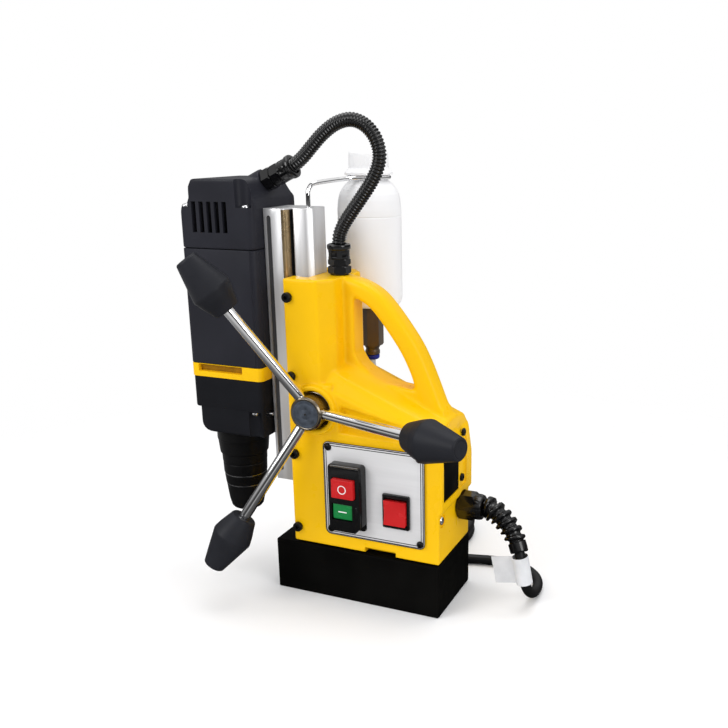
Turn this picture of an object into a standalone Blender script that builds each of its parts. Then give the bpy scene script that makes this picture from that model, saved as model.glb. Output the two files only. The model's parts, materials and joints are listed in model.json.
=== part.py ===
"""Magnetic drill press: electromagnet base, cast column with carrying handle,
dovetail carriage with motor and gearbox, three-spoke feed and coolant bottle.

Metres, +Z up. The origin is the centre of the magnet's bottom face, +X points to
the cable side and the operator stands at -Y. Each object is one physical piece.
"""
import math

import bmesh
import bpy
from mathutils import Matrix, Vector

# Clearances
GAP = 0.0003

# Electromagnet
BASE_LENGTH = 0.165
BASE_WIDTH = 0.080
BASE_HEIGHT = 0.050
COIL_CHANNEL_DEPTH = 0.032
POTTING_DEPTH = 0.008

# Cast housing
HOUSING_HALF_WIDTH = 0.0385
COLUMN_FRONT = -0.063
COLUMN_TOP = 0.298
HANDLE_HALF_WIDTH = 0.011
HANDLE_ROUNDING = 0.0045
GLAND_X = -0.027

# Dovetail slide
SLIDE_LOW = 0.1036
SLIDE_HIGH = 0.356
SLIDE_FRONT = -0.090
SLIDE_REAR = -0.046
RACK_BACK = -0.052
RACK_HALF_WIDTH = 0.005
GIB_THICKNESS = 0.002

# Rack feed
FEED_X = -0.036
FEED_Z = 0.1826
FEED_MODULE = 0.0015
FEED_TEETH = 14
FEED_PITCH_RADIUS = FEED_MODULE * FEED_TEETH / 2
HUB_FRONT = -0.056
HUB_RADIUS = 0.0155
SPOKE_APEX = -0.044
SPOKE_CONE = math.radians(18.7)
SPOKE_FIRST = math.radians(0.9)
SPOKE_RADIUS = 0.005
SPOKE_START = 0.0096
KNOB_START = 0.115
KNOB_END = 0.169

# Drill unit
SPINDLE_X = -0.140
ARBOR_LOW = 0.060
ARBOR_HIGH = 0.1438
MOTOR_X = -0.131
UNIT_FRONT = -0.1680
UNIT_REAR = -0.0903
UNIT_CORNER = 0.0055
UNIT_HALF_WIDTH = 0.038
GEARBOX_TOP = 0.2012
RING_LOW = 0.2015
RING_HIGH = 0.2140
SEAM_HEIGHT = 0.3207
CAP_TOP = 0.3815
WALL = 0.003
PAD_FRONT = -0.0985
LAYSHAFT_X = -0.12355
LAYSHAFT_Y = 0.01748
GEAR_MODULE = 0.001
ARMATURE_TEETH = 10
LAY_LARGE_TEETH = 28
LAY_SMALL_TEETH = 12
SPINDLE_TEETH = 36

# Coolant bottle
BOTTLE_X = -0.031
BOTTLE_Y = 0.0712
BOTTLE_RADIUS = 0.0302
BOTTLE_LOW = 0.259
BOTTLE_HIGH = 0.386
WIRE_RADIUS = 0.002

# Conduit and power cord
CONDUIT_RADIUS = 0.0063
CORD_RADIUS = 0.0047
CORD_COIL_X = -0.010
CORD_COIL_Y = 0.122
CORD_COIL_TURNS = 3
CORD_COIL_MEAN = 0.0517
GLAND_REAR_Y = 0.014
GLAND_REAR_Z = 0.090

FINISHES = {
    "magnet_black": ((0.018, 0.018, 0.020), 0.45, 0.0),
    "housing_yellow": ((0.86, 0.50, 0.02), 0.35, 0.0),
    "unit_black": ((0.030, 0.032, 0.036), 0.42, 0.0),
    "gearbox_black": ((0.028, 0.030, 0.034), 0.45, 0.2),
    "arbor_black": ((0.050, 0.050, 0.053), 0.38, 0.8),
    "slide_aluminium": ((0.72, 0.72, 0.73), 0.30, 1.0),
    "panel_silver": ((0.75, 0.76, 0.78), 0.35, 0.9),
    "steel": ((0.50, 0.50, 0.51), 0.30, 1.0),
    "chrome": ((0.80, 0.80, 0.81), 0.10, 1.0),
    "hub_steel": ((0.30, 0.29, 0.28), 0.35, 1.0),
    "knob_black": ((0.022, 0.023, 0.026), 0.50, 0.0),
    "fastener_black": ((0.030, 0.030, 0.032), 0.40, 0.6),
    "nylon_black": ((0.020, 0.020, 0.022), 0.40, 0.0),
    "cord_rubber": ((0.020, 0.020, 0.022), 0.60, 0.0),
    "stop_red": ((0.62, 0.03, 0.03), 0.30, 0.0),
    "start_green": ((0.03, 0.32, 0.08), 0.30, 0.0),
    "bottle_white": ((0.88, 0.89, 0.90), 0.40, 0.0),
    "brass": ((0.48, 0.36, 0.22), 0.35, 1.0),
    "valve_bronze": ((0.22, 0.17, 0.13), 0.35, 0.9),
    "collar_blue": ((0.05, 0.07, 0.40), 0.35, 0.0),
    "tube_clear": ((0.70, 0.74, 0.76), 0.15, 0.0),
    "copper": ((0.65, 0.30, 0.12), 0.35, 1.0),
    "board_green": ((0.03, 0.16, 0.07), 0.50, 0.0),
    "resin": ((0.05, 0.05, 0.05), 0.55, 0.0),
    "tag_white": ((0.85, 0.85, 0.85), 0.50, 0.0),
}


def clear_scene():
    for item in list(bpy.data.objects):
        bpy.data.objects.remove(item, do_unlink=True)


def new_collection(name):
    collection = bpy.data.collections.new(name)
    bpy.context.scene.collection.children.link(collection)
    return collection


clear_scene()
PARTS = new_collection("magnetic_drill_press")
CUTTERS = new_collection("cutters")


# ---------------------------------------------------------------- tools

def finish_material(finish):
    material = bpy.data.materials.get(finish)
    if material is None:
        colour, roughness, metallic = FINISHES[finish]
        material = bpy.data.materials.new(finish)
        material.use_nodes = True
        shader = material.node_tree.nodes["Principled BSDF"]
        shader.inputs["Base Color"].default_value = (*colour, 1.0)
        shader.inputs["Roughness"].default_value = roughness
        shader.inputs["Metallic"].default_value = metallic
    return material


def add(name, mesh, finish, place=(0, 0, 0), turn=None):
    """Link a mesh as a part, or as a cutter when it has no finish."""
    item = bpy.data.objects.new(name, mesh)
    item.location = place
    if turn is not None:
        item.rotation_mode = "QUATERNION"
        item.rotation_quaternion = turn
    if finish is None:
        CUTTERS.objects.link(item)
        item.hide_render = True
        item.display_type = "WIRE"
    else:
        PARTS.objects.link(item)
        mesh.materials.append(finish_material(finish))
    return item


def mm(*points):
    """Points written in millimetres, as vectors in metres."""
    return [Vector(point) * 0.001 for point in points]


def turn_to(axis):
    return Vector((0, 0, 1)).rotation_difference(Vector(axis))


def soften(item, width, segments=2, angle=50):
    bevel = item.modifiers.new("rounded edges", "BEVEL")
    bevel.width = width
    bevel.segments = segments
    bevel.limit_method = "ANGLE"
    bevel.angle_limit = math.radians(angle)
    return item


def combine(item, operation, *others):
    for other in others:
        boolean = item.modifiers.new(operation.lower(), "BOOLEAN")
        boolean.operation = operation
        boolean.object = other
        boolean.solver = "EXACT"
    return item


def cut(item, *others):
    return combine(item, "DIFFERENCE", *others)


def join(item, *others):
    return combine(item, "UNION", *others)


def block(name, finish, low, high, rounding=0.0, segments=2):
    low, high = Vector(low), Vector(high)
    mesh = bpy.data.meshes.new(name)
    shape = bmesh.new()
    bmesh.ops.create_cube(shape, size=1.0)
    bmesh.ops.scale(shape, vec=high - low, verts=shape.verts)
    shape.to_mesh(mesh)
    shape.free()
    item = add(name, mesh, finish, (low + high) / 2)
    if rounding:
        soften(item, rounding, segments)
    return item


def rod(name, finish, start, end, radius, sides=24, end_radius=None):
    """A cylinder, or a cone, from one point to another."""
    start, end = Vector(start), Vector(end)
    mesh = bpy.data.meshes.new(name)
    shape = bmesh.new()
    bmesh.ops.create_cone(
        shape, cap_ends=True, segments=sides, radius1=radius,
        radius2=radius if end_radius is None else end_radius, depth=(end - start).length)
    shape.to_mesh(mesh)
    shape.free()
    shade(mesh)
    return add(name, mesh, finish, (start + end) / 2, turn_to(end - start))


def shade(mesh):
    mesh.shade_smooth()
    mesh.set_sharp_from_angle(angle=math.radians(35))


def turned(name, finish, profile, place, axis=(0, 0, 1), steps=32, closed=False):
    """Turn a profile of (radius, height) points, listed down its outer side."""
    mesh = bpy.data.meshes.new(name)
    points = [(radius, 0, height) for radius, height in profile]
    edges = [(index, index + 1) for index in range(len(points) - 1)]
    if closed:
        edges.append((len(points) - 1, 0))
    mesh.from_pydata(points, edges, [])
    item = add(name, mesh, finish, place, turn_to(axis))
    screw = item.modifiers.new("turned", "SCREW")
    screw.steps = steps
    screw.render_steps = steps
    screw.use_merge_vertices = True
    screw.merge_threshold = 0.00001
    screw.use_smooth_shade = True
    return item


def curve_to_mesh(curve, name):
    """Make a curve's outline or tube one closed mesh with welded caps."""
    guide = bpy.data.objects.new(name + "_curve", curve)
    CUTTERS.objects.link(guide)
    bpy.context.view_layer.update()
    mesh = bpy.data.meshes.new_from_object(guide.evaluated_get(bpy.context.evaluated_depsgraph_get()))
    shape = bmesh.new()
    shape.from_mesh(mesh)
    bmesh.ops.remove_doubles(shape, verts=shape.verts, dist=0.000005)
    bmesh.ops.recalc_face_normals(shape, faces=shape.faces)
    shape.to_mesh(mesh)
    shape.free()
    bpy.data.objects.remove(guide)
    mesh.name = name
    mesh.materials.clear()
    return mesh


def outline_mesh(name, outlines, thickness):
    """Extrude flat outlines, given as 2D points, the second and later ones as holes."""
    curve = bpy.data.curves.new(name, "CURVE")
    curve.dimensions = "2D"
    curve.fill_mode = "BOTH"
    curve.extrude = thickness / 2
    curve.resolution_u = 3
    for outline in outlines:
        spline = curve.splines.new("POLY")
        spline.points.add(len(outline) - 1)
        spline.use_cyclic_u = True
        for point, (first, second) in zip(spline.points, outline):
            point.co = (first, second, 0, 1)
    return curve_to_mesh(curve, name)


def upright(name, finish, outlines, low, high):
    """An outline in X and Y, extruded in Z from low to high."""
    mesh = outline_mesh(name, outlines, high - low)
    return add(name, mesh, finish, (0, 0, (low + high) / 2))


def sideways(name, finish, outlines, near, far):
    """An outline in X and Z, extruded in Y from near to far."""
    mesh = outline_mesh(name, outlines, far - near)
    quarter = Matrix.Rotation(math.radians(90), 3, "X").to_quaternion()
    return add(name, mesh, finish, (0, (near + far) / 2, 0), quarter)


def prism(name, finish, outline, near, far):
    """One outline in X and Z without holes, extruded in Y, with one face at each end."""
    sides = [[(x, y, z) for x, z in outline] for y in (near, far)]
    return swept(name, finish, sides)


def swept(name, finish, rings):
    """A skin over rings of equally many points, closed at both ends."""
    mesh = bpy.data.meshes.new(name)
    shape = bmesh.new()
    loops = [[shape.verts.new(point) for point in ring] for ring in rings]
    for loop, following in zip(loops, loops[1:]):
        for index in range(len(loop)):
            ahead = (index + 1) % len(loop)
            shape.faces.new((loop[index], loop[ahead], following[ahead], following[index]))
    shape.faces.new(reversed(loops[0]))
    shape.faces.new(loops[-1])
    bmesh.ops.recalc_face_normals(shape, faces=shape.faces)
    shape.to_mesh(mesh)
    shape.free()
    return add(name, mesh, finish)


def tube(name, finish, points, radius, resolution=2):
    """A round tube along points, closed at both ends."""
    curve = bpy.data.curves.new(name, "CURVE")
    curve.dimensions = "3D"
    curve.bevel_depth = radius
    curve.bevel_resolution = resolution
    curve.use_fill_caps = True
    spline = curve.splines.new("POLY")
    spline.points.add(len(points) - 1)
    for target, point in zip(spline.points, points):
        target.co = (*point, 1)
    item = bpy.data.objects.new(name, curve)
    PARTS.objects.link(item)
    curve.materials.append(finish_material(finish))
    return item


def smooth_path(route, spacing):
    """Points at an even spacing on a smooth curve through the route's points."""
    route = [Vector(point) for point in route]
    padded = [2 * route[0] - route[1], *route, 2 * route[-1] - route[-2]]
    fine = []
    for a, b, c, d in zip(padded, padded[1:], padded[2:], padded[3:]):
        for step in range(16):
            t = step / 16
            fine.append(0.5 * (2 * b + (c - a) * t + (2 * a - 5 * b + 4 * c - d) * t ** 2
                               + (3 * b - a - 3 * c + d) * t ** 3))
    fine.append(route[-1])
    total = sum((q - p).length for p, q in zip(fine, fine[1:]))
    count = max(2, round(total / spacing))
    points, travelled, wanted = [fine[0]], 0.0, 1
    for p, q in zip(fine, fine[1:]):
        step = (q - p).length
        while wanted < count and travelled + step >= wanted * total / count:
            points.append(p.lerp(q, (wanted * total / count - travelled) / step))
            wanted += 1
        travelled += step
    points.append(fine[-1])
    return points


def rounded(low, high, radius, arc_steps=4):
    """A rectangle with round corners, as 2D points."""
    corners = [(high[0] - radius, high[1] - radius, 0), (low[0] + radius, high[1] - radius, 90),
               (low[0] + radius, low[1] + radius, 180), (high[0] - radius, low[1] + radius, 270)]
    points = []
    for x, y, start in corners:
        for step in range(arc_steps + 1):
            angle = math.radians(start + 90 * step / arc_steps)
            points.append((x + radius * math.cos(angle), y + radius * math.sin(angle)))
    return points


def gear_points(teeth, module, phase, centre=(0, 0)):
    """A gear's outline with one tooth centred on the angle phase."""
    pitch_radius = teeth * module / 2
    pitch_angle = 2 * math.pi / teeth
    levels = [(-1.2, 0.235), (0.85, 0.10)]
    points = []
    for tooth in range(teeth):
        middle = phase + tooth * pitch_angle
        flank = [(pitch_radius + level * module, share) for level, share in levels]
        side = [(radius, middle - share * pitch_angle) for radius, share in flank]
        side += [(radius, middle + share * pitch_angle) for radius, share in reversed(flank)]
        points += [(centre[0] + radius * math.cos(angle), centre[1] + radius * math.sin(angle))
                   for radius, angle in side]
    return points


def screw_head(name, finish, place, axis, radius, height, shank):
    """A socket cap screw whose head stands out along its axis, with its shank behind."""
    item = turned(name, finish, [
        (0, height), (radius * 0.86, height), (radius, height * 0.75), (radius, 0),
        (radius * 0.5, 0), (radius * 0.5, -shank), (0, -shank)], place, axis, steps=12)
    place, axis = Vector(place), Vector(axis)
    socket = rod(name + "_socket", None, place + axis * height * 0.45,
                 place + axis * height * 1.5, radius * 0.5, sides=6)
    return cut(item, socket)


def group(name, place):
    """An empty at a joint, which its moving pieces hang on."""
    empty = bpy.data.objects.new(name, None)
    empty.location = place
    PARTS.objects.link(empty)
    return empty


def attach(empty, items):
    bpy.context.view_layer.update()
    for item in items:
        item.parent = empty
        item.matrix_parent_inverse = empty.matrix_world.inverted()


# ---------------------------------------------------------------- magnet

def make_magnet():
    half_length, half_width = BASE_LENGTH / 2, BASE_WIDTH / 2
    body = block("magnet_body", "magnet_black", (-half_length, -half_width, 0),
                 (half_length, half_width, BASE_HEIGHT), 0.0012, 2)
    wide = rounded((-0.066, -0.026), (0.066, 0.026), 0.010, 3)
    core = rounded((-0.050, -0.012), (0.050, 0.012), 0.004, 2)
    cut(body, upright("coil_channel", None, [wide, core], -0.001, COIL_CHANNEL_DEPTH))
    inset = 0.0006
    ring = [rounded((-0.066 + inset, -0.026 + inset), (0.066 - inset, 0.026 - inset), 0.0094, 3),
            rounded((-0.050 - inset, -0.012 - inset), (0.050 + inset, 0.012 + inset), 0.0046, 2)]
    upright("magnet_coil", "copper", ring, POTTING_DEPTH + GAP, COIL_CHANNEL_DEPTH - GAP)
    upright("magnet_potting", "resin", ring, 0.0004, POTTING_DEPTH)


# ---------------------------------------------------------------- housing

SLOT_MOUTH = 0.01543
SHOULDER_LIP = mm((-19, 200), (82.5, 163))
HANDLE_OUTER = mm((79, 179), (73.5, 191), (68, 204.8), (59.7, 224.6), (50.7, 241.8), (39, 258.5),
                  (27.5, 273), (16.5, 284.5), (4, 292), (-9, 296.2), (-24, 297.6), (-48, 297.6))
HANDLE_INNER = mm((45, 190), (47, 200), (46, 207), (42.5, 217), (34.5, 233), (23.5, 249),
                  (13.5, 262), (5, 271), (-4, 276.5), (-12, 279.5), (-24, 281), (-48, 281))
WEB = [(-50, 150), (80, 150), (82, 168), (76, 185), (62, 195), (53, 203.5), (48, 200.8), (32, 203),
       (18, 205.5), (6, 212), (-4, 220.5), (-9.5, 230), (-9.5, 290), (-50, 290)]


def flat(points):
    """2D points in millimetres, scaled to metres."""
    return [(x * 0.001, z * 0.001) for x, z in points]


def make_handle():
    """The carrying handle: a rounded bar between its outer and inner outlines."""
    rings = []
    for outer, inner in zip(HANDLE_OUTER, HANDLE_INNER):
        middle, reach = (outer + inner) / 2, (outer - inner) / 2
        ring = []
        for step in range(16):
            angle = 2 * math.pi * (step + 0.5) / 16
            along, across = math.cos(angle), math.sin(angle)
            along = math.copysign(abs(along) ** 0.6, along)
            across = math.copysign(abs(across) ** 0.6, across)
            ring.append((middle.x + reach.x * along, HANDLE_HALF_WIDTH * across,
                         middle.y + reach.y * along))
        rings.append(ring)
    return swept("handle", None, rings)


def make_shoulder():
    """The surface that rises from the lip to the handle's ledge."""
    mesh = bpy.data.meshes.new("shoulder")
    shape = bmesh.new()
    half = HOUSING_HALF_WIDTH - 0.0012
    ridge = HANDLE_HALF_WIDTH - 0.002
    (left, left_height), (right, right_height) = [(p[0], p[1]) for p in SHOULDER_LIP]
    for side in (-1, 1):
        for x, lip, top in ((left - 0.006, left_height + 0.0015, 0.2255),
                            (right - 0.0010, right_height - 0.0004, 0.1775)):
            shape.verts.new((x, side * half, lip))
            shape.verts.new((x, side * half, 0.150))
            shape.verts.new((x, side * ridge, top))
            shape.verts.new((x, side * 0.029, lip + (top - lip) * 0.66))
    bmesh.ops.convex_hull(shape, input=shape.verts)
    bmesh.ops.recalc_face_normals(shape, faces=shape.faces)
    shape.to_mesh(mesh)
    shape.free()
    return add("shoulder", mesh, None)


def make_housing():
    """The casting: its side outline with the slanted column cheeks, then the handle."""
    half = HOUSING_HALF_WIDTH
    outline = flat([(-63, 51.3), (82.5, 51.3), (82.5, 98), (85.5, 101.5), (85.5, 150), (84.5, 158)])
    (left, left_height), (right, right_height) = [(p[0], p[1]) for p in SHOULDER_LIP]
    outline += [(right, right_height), (left, left_height)] + flat([(-19, 298), (-63, 298)])
    housing = soften(prism("housing", "housing_yellow", outline, -half, half), 0.0020, 2, 40)
    for side in (-1, 1):
        cheek = flat([(-30, side * 39.5), (-30, side * 38.45), (-18.9, side * 25),
                      (-16.0, side * 25), (-16.0, side * 39.5)])
        cut(housing, upright("cheek_slant", None, [cheek], 0.2060, 0.305))
    boss = rod("feed_boss", None, (FEED_X, -HOUSING_HALF_WIDTH + 0.002, FEED_Z),
               (FEED_X, -0.0430, FEED_Z), 0.0218, 40)
    web = soften(prism("web", None, flat(WEB), -HANDLE_HALF_WIDTH + 0.0004, HANDLE_HALF_WIDTH - 0.0004),
                 0.0030, 2, 60)
    join(housing, make_shoulder(), web, make_handle(), boss)

    cut(housing, rod("scoop", None, mm((-13.3, -44.2, 175.2))[0], mm((61.4, -44.7, 167.6))[0],
                     0.0124, 22, 0.0084))
    gib_room = GIB_THICKNESS + 2 * GAP + 0.0001
    slot = [(-0.0655, -SLOT_MOUTH - gib_room), (-0.0503, -0.0244), (-0.0450, -0.0244),
            (-0.0450, 0.0223), (-0.0496, 0.0223), (-0.0655, SLOT_MOUTH)]
    cut(housing, upright("slide_slot", None, [slot], 0.045, 0.305))
    cut(housing, rod("pinion_room", None, (FEED_X, -0.013, FEED_Z), (FEED_X, 0.013, FEED_Z), 0.0135, 32))
    cut(housing, rod("bush_bore", None, (FEED_X, -0.045, FEED_Z), (FEED_X, -0.012, FEED_Z), 0.0093, 32))
    cut(housing, rod("shaft_bore", None, (FEED_X, 0.012, FEED_Z), (FEED_X, 0.0262, FEED_Z), 0.00708, 32))
    cut(housing, rod("hub_recess", None, (FEED_X, -0.045, FEED_Z), (FEED_X, -0.0355, FEED_Z), 0.0175, 40))
    cut(housing, block("control_pocket", None, (-0.026, -0.045, 0.069), (0.065, -0.008, 0.150), 0.003))
    cut(housing, block("wiring_pocket", None, (-0.004, -0.010, 0.062), (0.074, 0.030, 0.147), 0.004))
    cut(housing, rod("cord_hole", None, (0.070, GLAND_REAR_Y, GLAND_REAR_Z),
                     (0.090, GLAND_REAR_Y, GLAND_REAR_Z), 0.0083, 24))
    cut(housing, rod("gland_seat", None, (0.0822, GLAND_REAR_Y, GLAND_REAR_Z),
                     (0.092, GLAND_REAR_Y, GLAND_REAR_Z), 0.0141, 24))
    cut(housing, rod("conduit_hole", None, (GLAND_X, 0, 0.262), (GLAND_X, 0, 0.305), 0.0083, 24))
    cut(housing, block("label_recess", None, (0.0835, -0.034, 0.109), (0.095, 0.023, 0.1555)))
    for x, z in GIB_SCREWS:
        cut(housing, rod("gib_screw_hole", None, (x, -0.045, z), (x, -0.0200, z), 0.0024, 16))


GIB_SCREWS = [(-0.0583, 0.282), (-0.0583, 0.211), (-0.0583, 0.138), (-0.0583, 0.066)]


def make_gib():
    """The adjustable strip between the near cheek and the dovetail, and its screws."""
    outward = Vector((-0.396, -0.918))
    start, end = Vector((-0.0628, -0.01626)), Vector((-0.0500, -0.02178))
    inner = GAP
    outer = GAP + GIB_THICKNESS
    outline = [tuple(start + outward * inner), tuple(start + outward * outer),
               tuple(end + outward * outer), tuple(end + outward * inner)]
    upright("gib_strip", "brass", [outline], 0.0520, 0.2975)
    for number, (x, z) in enumerate(GIB_SCREWS, 1):
        screw_head(f"gib_screw_{number}", "fastener_black", (x, -HOUSING_HALF_WIDTH - GAP, z),
                   (0, -1, 0), 0.0045, 0.0040, 0.0165)


# ---------------------------------------------------------------- controls

PANEL_LOW = (-0.028, 0.0655)
PANEL_HIGH = (0.0695, 0.1540)
PANEL_THICKNESS = 0.0018
SWITCH_LOW = (-0.0195, 0.0735)
SWITCH_HIGH = (0.0140, 0.1375)
ROCKER_LOW = (0.0305, 0.0820)
ROCKER_HIGH = (0.0565, 0.1140)
STOP_BOX = ((-0.0140, 0.1075), (0.0080, 0.1255))
START_BOX = ((-0.0150, 0.0860), (0.0045, 0.1006))
ROCKER_AXIS_Y = -0.0430
ROCKER_AXIS_Z = 0.0980


def shifted(low_high, clearance):
    (x_low, z_low), (x_high, z_high) = low_high
    return (x_low - clearance, z_low - clearance), (x_high + clearance, z_high + clearance)


def panel_block(name, finish, low_high, near, far, rounding=0.0, segments=2):
    (x_low, z_low), (x_high, z_high) = low_high
    return block(name, finish, (x_low, near, z_low), (x_high, far, z_high), rounding, segments)


def make_controls():
    back = -HOUSING_HALF_WIDTH - GAP
    front = back - PANEL_THICKNESS
    plate = sideways("control_plate", "panel_silver",
                     [rounded(PANEL_LOW, PANEL_HIGH, 0.005)], front, back)
    cut(plate, panel_block("switch_window", None, shifted((SWITCH_LOW, SWITCH_HIGH), -0.003),
                           front - 0.003, back + 0.003))
    cut(plate, panel_block("rocker_window", None, shifted((ROCKER_LOW, ROCKER_HIGH), -0.0007),
                           front - 0.003, back + 0.003))

    face = front - GAP
    switch = panel_block("switch_housing", "nylon_black", (SWITCH_LOW, SWITCH_HIGH),
                         face - 0.0105, face, 0.0025, 2)
    stem = panel_block("switch_body", None, shifted((SWITCH_LOW, SWITCH_HIGH), -0.0033),
                       face - 0.002, -0.020)
    join(switch, stem)
    for name, button in (("stop_well", STOP_BOX), ("start_well", START_BOX)):
        cut(switch, panel_block(name, None, shifted(button, 0.0005), face - 0.020, -0.0275))
    stop = panel_block("stop_button", "stop_red", STOP_BOX, face - 0.0140, -0.0360, 0.001, 2)
    start = panel_block("start_button", "start_green", START_BOX, face - 0.0095, -0.0360, 0.001, 2)
    for name, item, place in (("stop", stop, STOP_BOX), ("start", start, START_BOX)):
        middle = ((place[0][0] + place[1][0]) / 2, -0.050, (place[0][1] + place[1][1]) / 2)
        attach(group(name + "_travel", middle), [item])

    bezel = panel_block("rocker_bezel", "nylon_black", (ROCKER_LOW, ROCKER_HIGH),
                        face - 0.0022, face, 0.001, 2)
    join(bezel, panel_block("rocker_body", None, shifted((ROCKER_LOW, ROCKER_HIGH), -0.0010),
                            face - 0.0005, -0.0220))
    opening = ((ROCKER_LOW[0] + 0.0024, ROCKER_LOW[1] + 0.0034),
               (ROCKER_HIGH[0] - 0.0024, ROCKER_HIGH[1] - 0.0034))
    cut(bezel, panel_block("rocker_well", None, opening, face - 0.006, -0.0310))
    rocker_profile = [(-0.0115, -0.0042), (-0.0060, -0.0030), (0.0, -0.0024), (0.0060, -0.0030),
                      (0.0115, -0.0042), (0.0095, 0.0050), (0.0, 0.0085), (-0.0095, 0.0050)]
    mesh = outline_mesh("rocker", [rocker_profile], opening[1][0] - opening[0][0] - 0.0010)
    stand = Matrix(((0, 0, 1), (0, 1, 0), (-1, 0, 0))).to_quaternion()
    rocker = add("rocker_switch", mesh, "stop_red",
                 ((ROCKER_LOW[0] + ROCKER_HIGH[0]) / 2, ROCKER_AXIS_Y, ROCKER_AXIS_Z), stand)
    attach(group("rocker_pivot", rocker.location), [rocker])
    block("control_board", "board_green", (0.0170, -0.0120, 0.0740), (0.0620, -0.0100, 0.1400))


# ---------------------------------------------------------------- rear

def make_rear():
    block("rear_plate", "magnet_black", (0.0838, -0.0335, 0.1095), (0.0850, 0.0040, 0.1550))
    hexagon = rod("cord_gland", "nylon_black", (0.0828, GLAND_REAR_Y, GLAND_REAR_Z),
                  (0.0985, GLAND_REAR_Y, GLAND_REAR_Z), 0.0135, 6)
    sleeve = rod("gland_thread", None, (0.0745, GLAND_REAR_Y, GLAND_REAR_Z),
                 (0.0860, GLAND_REAR_Y, GLAND_REAR_Z), 0.0080, 24)
    cap = rod("gland_cap", None, (0.0960, GLAND_REAR_Y, GLAND_REAR_Z),
              (0.1060, GLAND_REAR_Y, GLAND_REAR_Z), 0.0118, 24)
    join(hexagon, sleeve, cap)
    boot = smooth_path(STRAIN_RELIEF_ROUTE, 0.006)
    tube("strain_relief", "nylon_black", boot, 0.0078, 2)


STRAIN_RELIEF_ROUTE = mm((106.8, 14, 90), (112, 13.95, 89.6), (120, 13, 86), (127, 11.8, 80.3),
                         (133, 10, 74.5), (138, 7.8, 67.5), (141.5, 5.6, 60.5), (143, 4.3, 56.5))
CORD_ROUTE = mm((143.4, 3.9, 55.5), (145.4, 2, 49), (147, 1.4, 41), (148.5, 3.6, 29.5), (149.8, 10, 18.2),
                (150.8, 20, 9.9), (151, 32, 5.6), (150, 46, 4.9), (145, 59, 4.8), (136, 69.5, 4.8),
                (124, 76.5, 4.8), (110, 79.3, 4.8), (94, 78.5, 4.8), (78, 75, 4.8), (60, 70.2, 4.8),
                (42, 65.6, 4.8), (28, 62.8, 4.8))
CORD_END_ROUTE = mm((-48.5, 61.2, 14.2), (-60, 63.6, 11.2), (-72.5, 69.4, 7.6), (-83.5, 78, 6.2),
                    (-91.5, 88.5, 8.2), (-96.2, 99, 13.2), (-98, 109.5, 17.6), (-98, 115.4, 18.2))


# ---------------------------------------------------------------- cord

def make_cord():
    tube("power_cord", "cord_rubber", smooth_path(CORD_ROUTE, 0.014), CORD_RADIUS, 2)
    pitch = 2 * CORD_RADIUS
    inner = CORD_COIL_MEAN - pitch * CORD_COIL_TURNS / 2
    outer = CORD_COIL_MEAN + pitch * CORD_COIL_TURNS / 2
    edge = 0.0022
    turned("cord_coil", "cord_rubber", [
        (outer - edge, 2 * pitch), (outer, 2 * pitch - edge), (outer, edge), (outer - edge, 0),
        (inner + edge, 0), (inner, edge), (inner, 2 * pitch - edge), (inner + edge, 2 * pitch)],
        (CORD_COIL_X, CORD_COIL_Y, 0.0001), steps=32, closed=True)
    tube("power_cord_end", "cord_rubber", smooth_path(CORD_END_ROUTE, 0.009), CORD_RADIUS, 2)
    plug = turned("power_plug", "nylon_black", [
        (0, 0), (0.0065, 0), (0.0085, -0.014), (0.0150, -0.024), (0.0180, -0.034),
        (0.0180, -0.058), (0.0, -0.058)], mm((-98, 116.3, 18.2))[0], (0, -1, 0), steps=20)
    for side in (-1, 1):
        x = -98 + 9.5 * side
        join(plug, rod("plug_pin", None, mm((x, 172, 18.2))[0], mm((x, 193, 18.2))[0], 0.0024, 12))
    make_tag()


TAG_LOW = 0.0285
TAG_HIGH = 0.0545
TAG_FLAG = 0.0200


def make_tag():
    """A blank label wrapped round the hanging stretch of the cord, with a flag at its side."""
    stretch = [point for point in smooth_path(CORD_ROUTE, 0.002) if TAG_LOW < point.z < TAG_HIGH]
    axis = (stretch[0] - stretch[-1]).normalized()
    centre = sum(stretch, Vector()) / len(stretch)
    half = (TAG_HIGH - TAG_LOW) / 2
    inner, outer = CORD_RADIUS + 0.0023, CORD_RADIUS + 0.0027
    tag = turned("cord_tag", "tag_white", [
        (outer, half), (outer, -half), (inner, -half), (inner, half)], centre, axis, steps=20, closed=True)
    flag = block("tag_flag", None, (-outer - TAG_FLAG, -0.0002, -half), (-inner, 0.0002, half))
    flag.location = centre + turn_to(axis) @ flag.location
    flag.rotation_mode = "QUATERNION"
    flag.rotation_quaternion = turn_to(axis)
    join(tag, flag)


# ---------------------------------------------------------------- glands and conduit

MOTOR_GLAND_START = mm((-99.1, 0, 377.9))[0]
MOTOR_GLAND_AXIS = Vector((0.908, 0, 0.418)).normalized()
CONDUIT_ROUTE = mm((-26.8, 0, 325.6), (-25.7, 0, 333), (-21.6, 0, 341.5), (-14, 0, 352), (-4.8, 0, 363.7),
                   (5.2, 0, 377), (12.3, 0, 390), (14.2, 0, 402.5), (10, 0, 415.4), (0.8, 0, 425.1),
                   (-11.8, 0, 429.4), (-25.8, 0, 426.5), (-39, 0, 418.3), (-50.2, 0, 408),
                   (-59, 0, 399.4), (-67.7, 0, 392.9))


def gland_profile(length):
    """A conduit gland's nut: a hollow cup with a collar at its mouth."""
    return [(0.0090, length), (0.0104, length - 0.001), (0.0104, length - 0.006),
            (0.0094, length - 0.007), (0.0094, 0), (0.0072, 0), (0.0072, length)]


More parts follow.
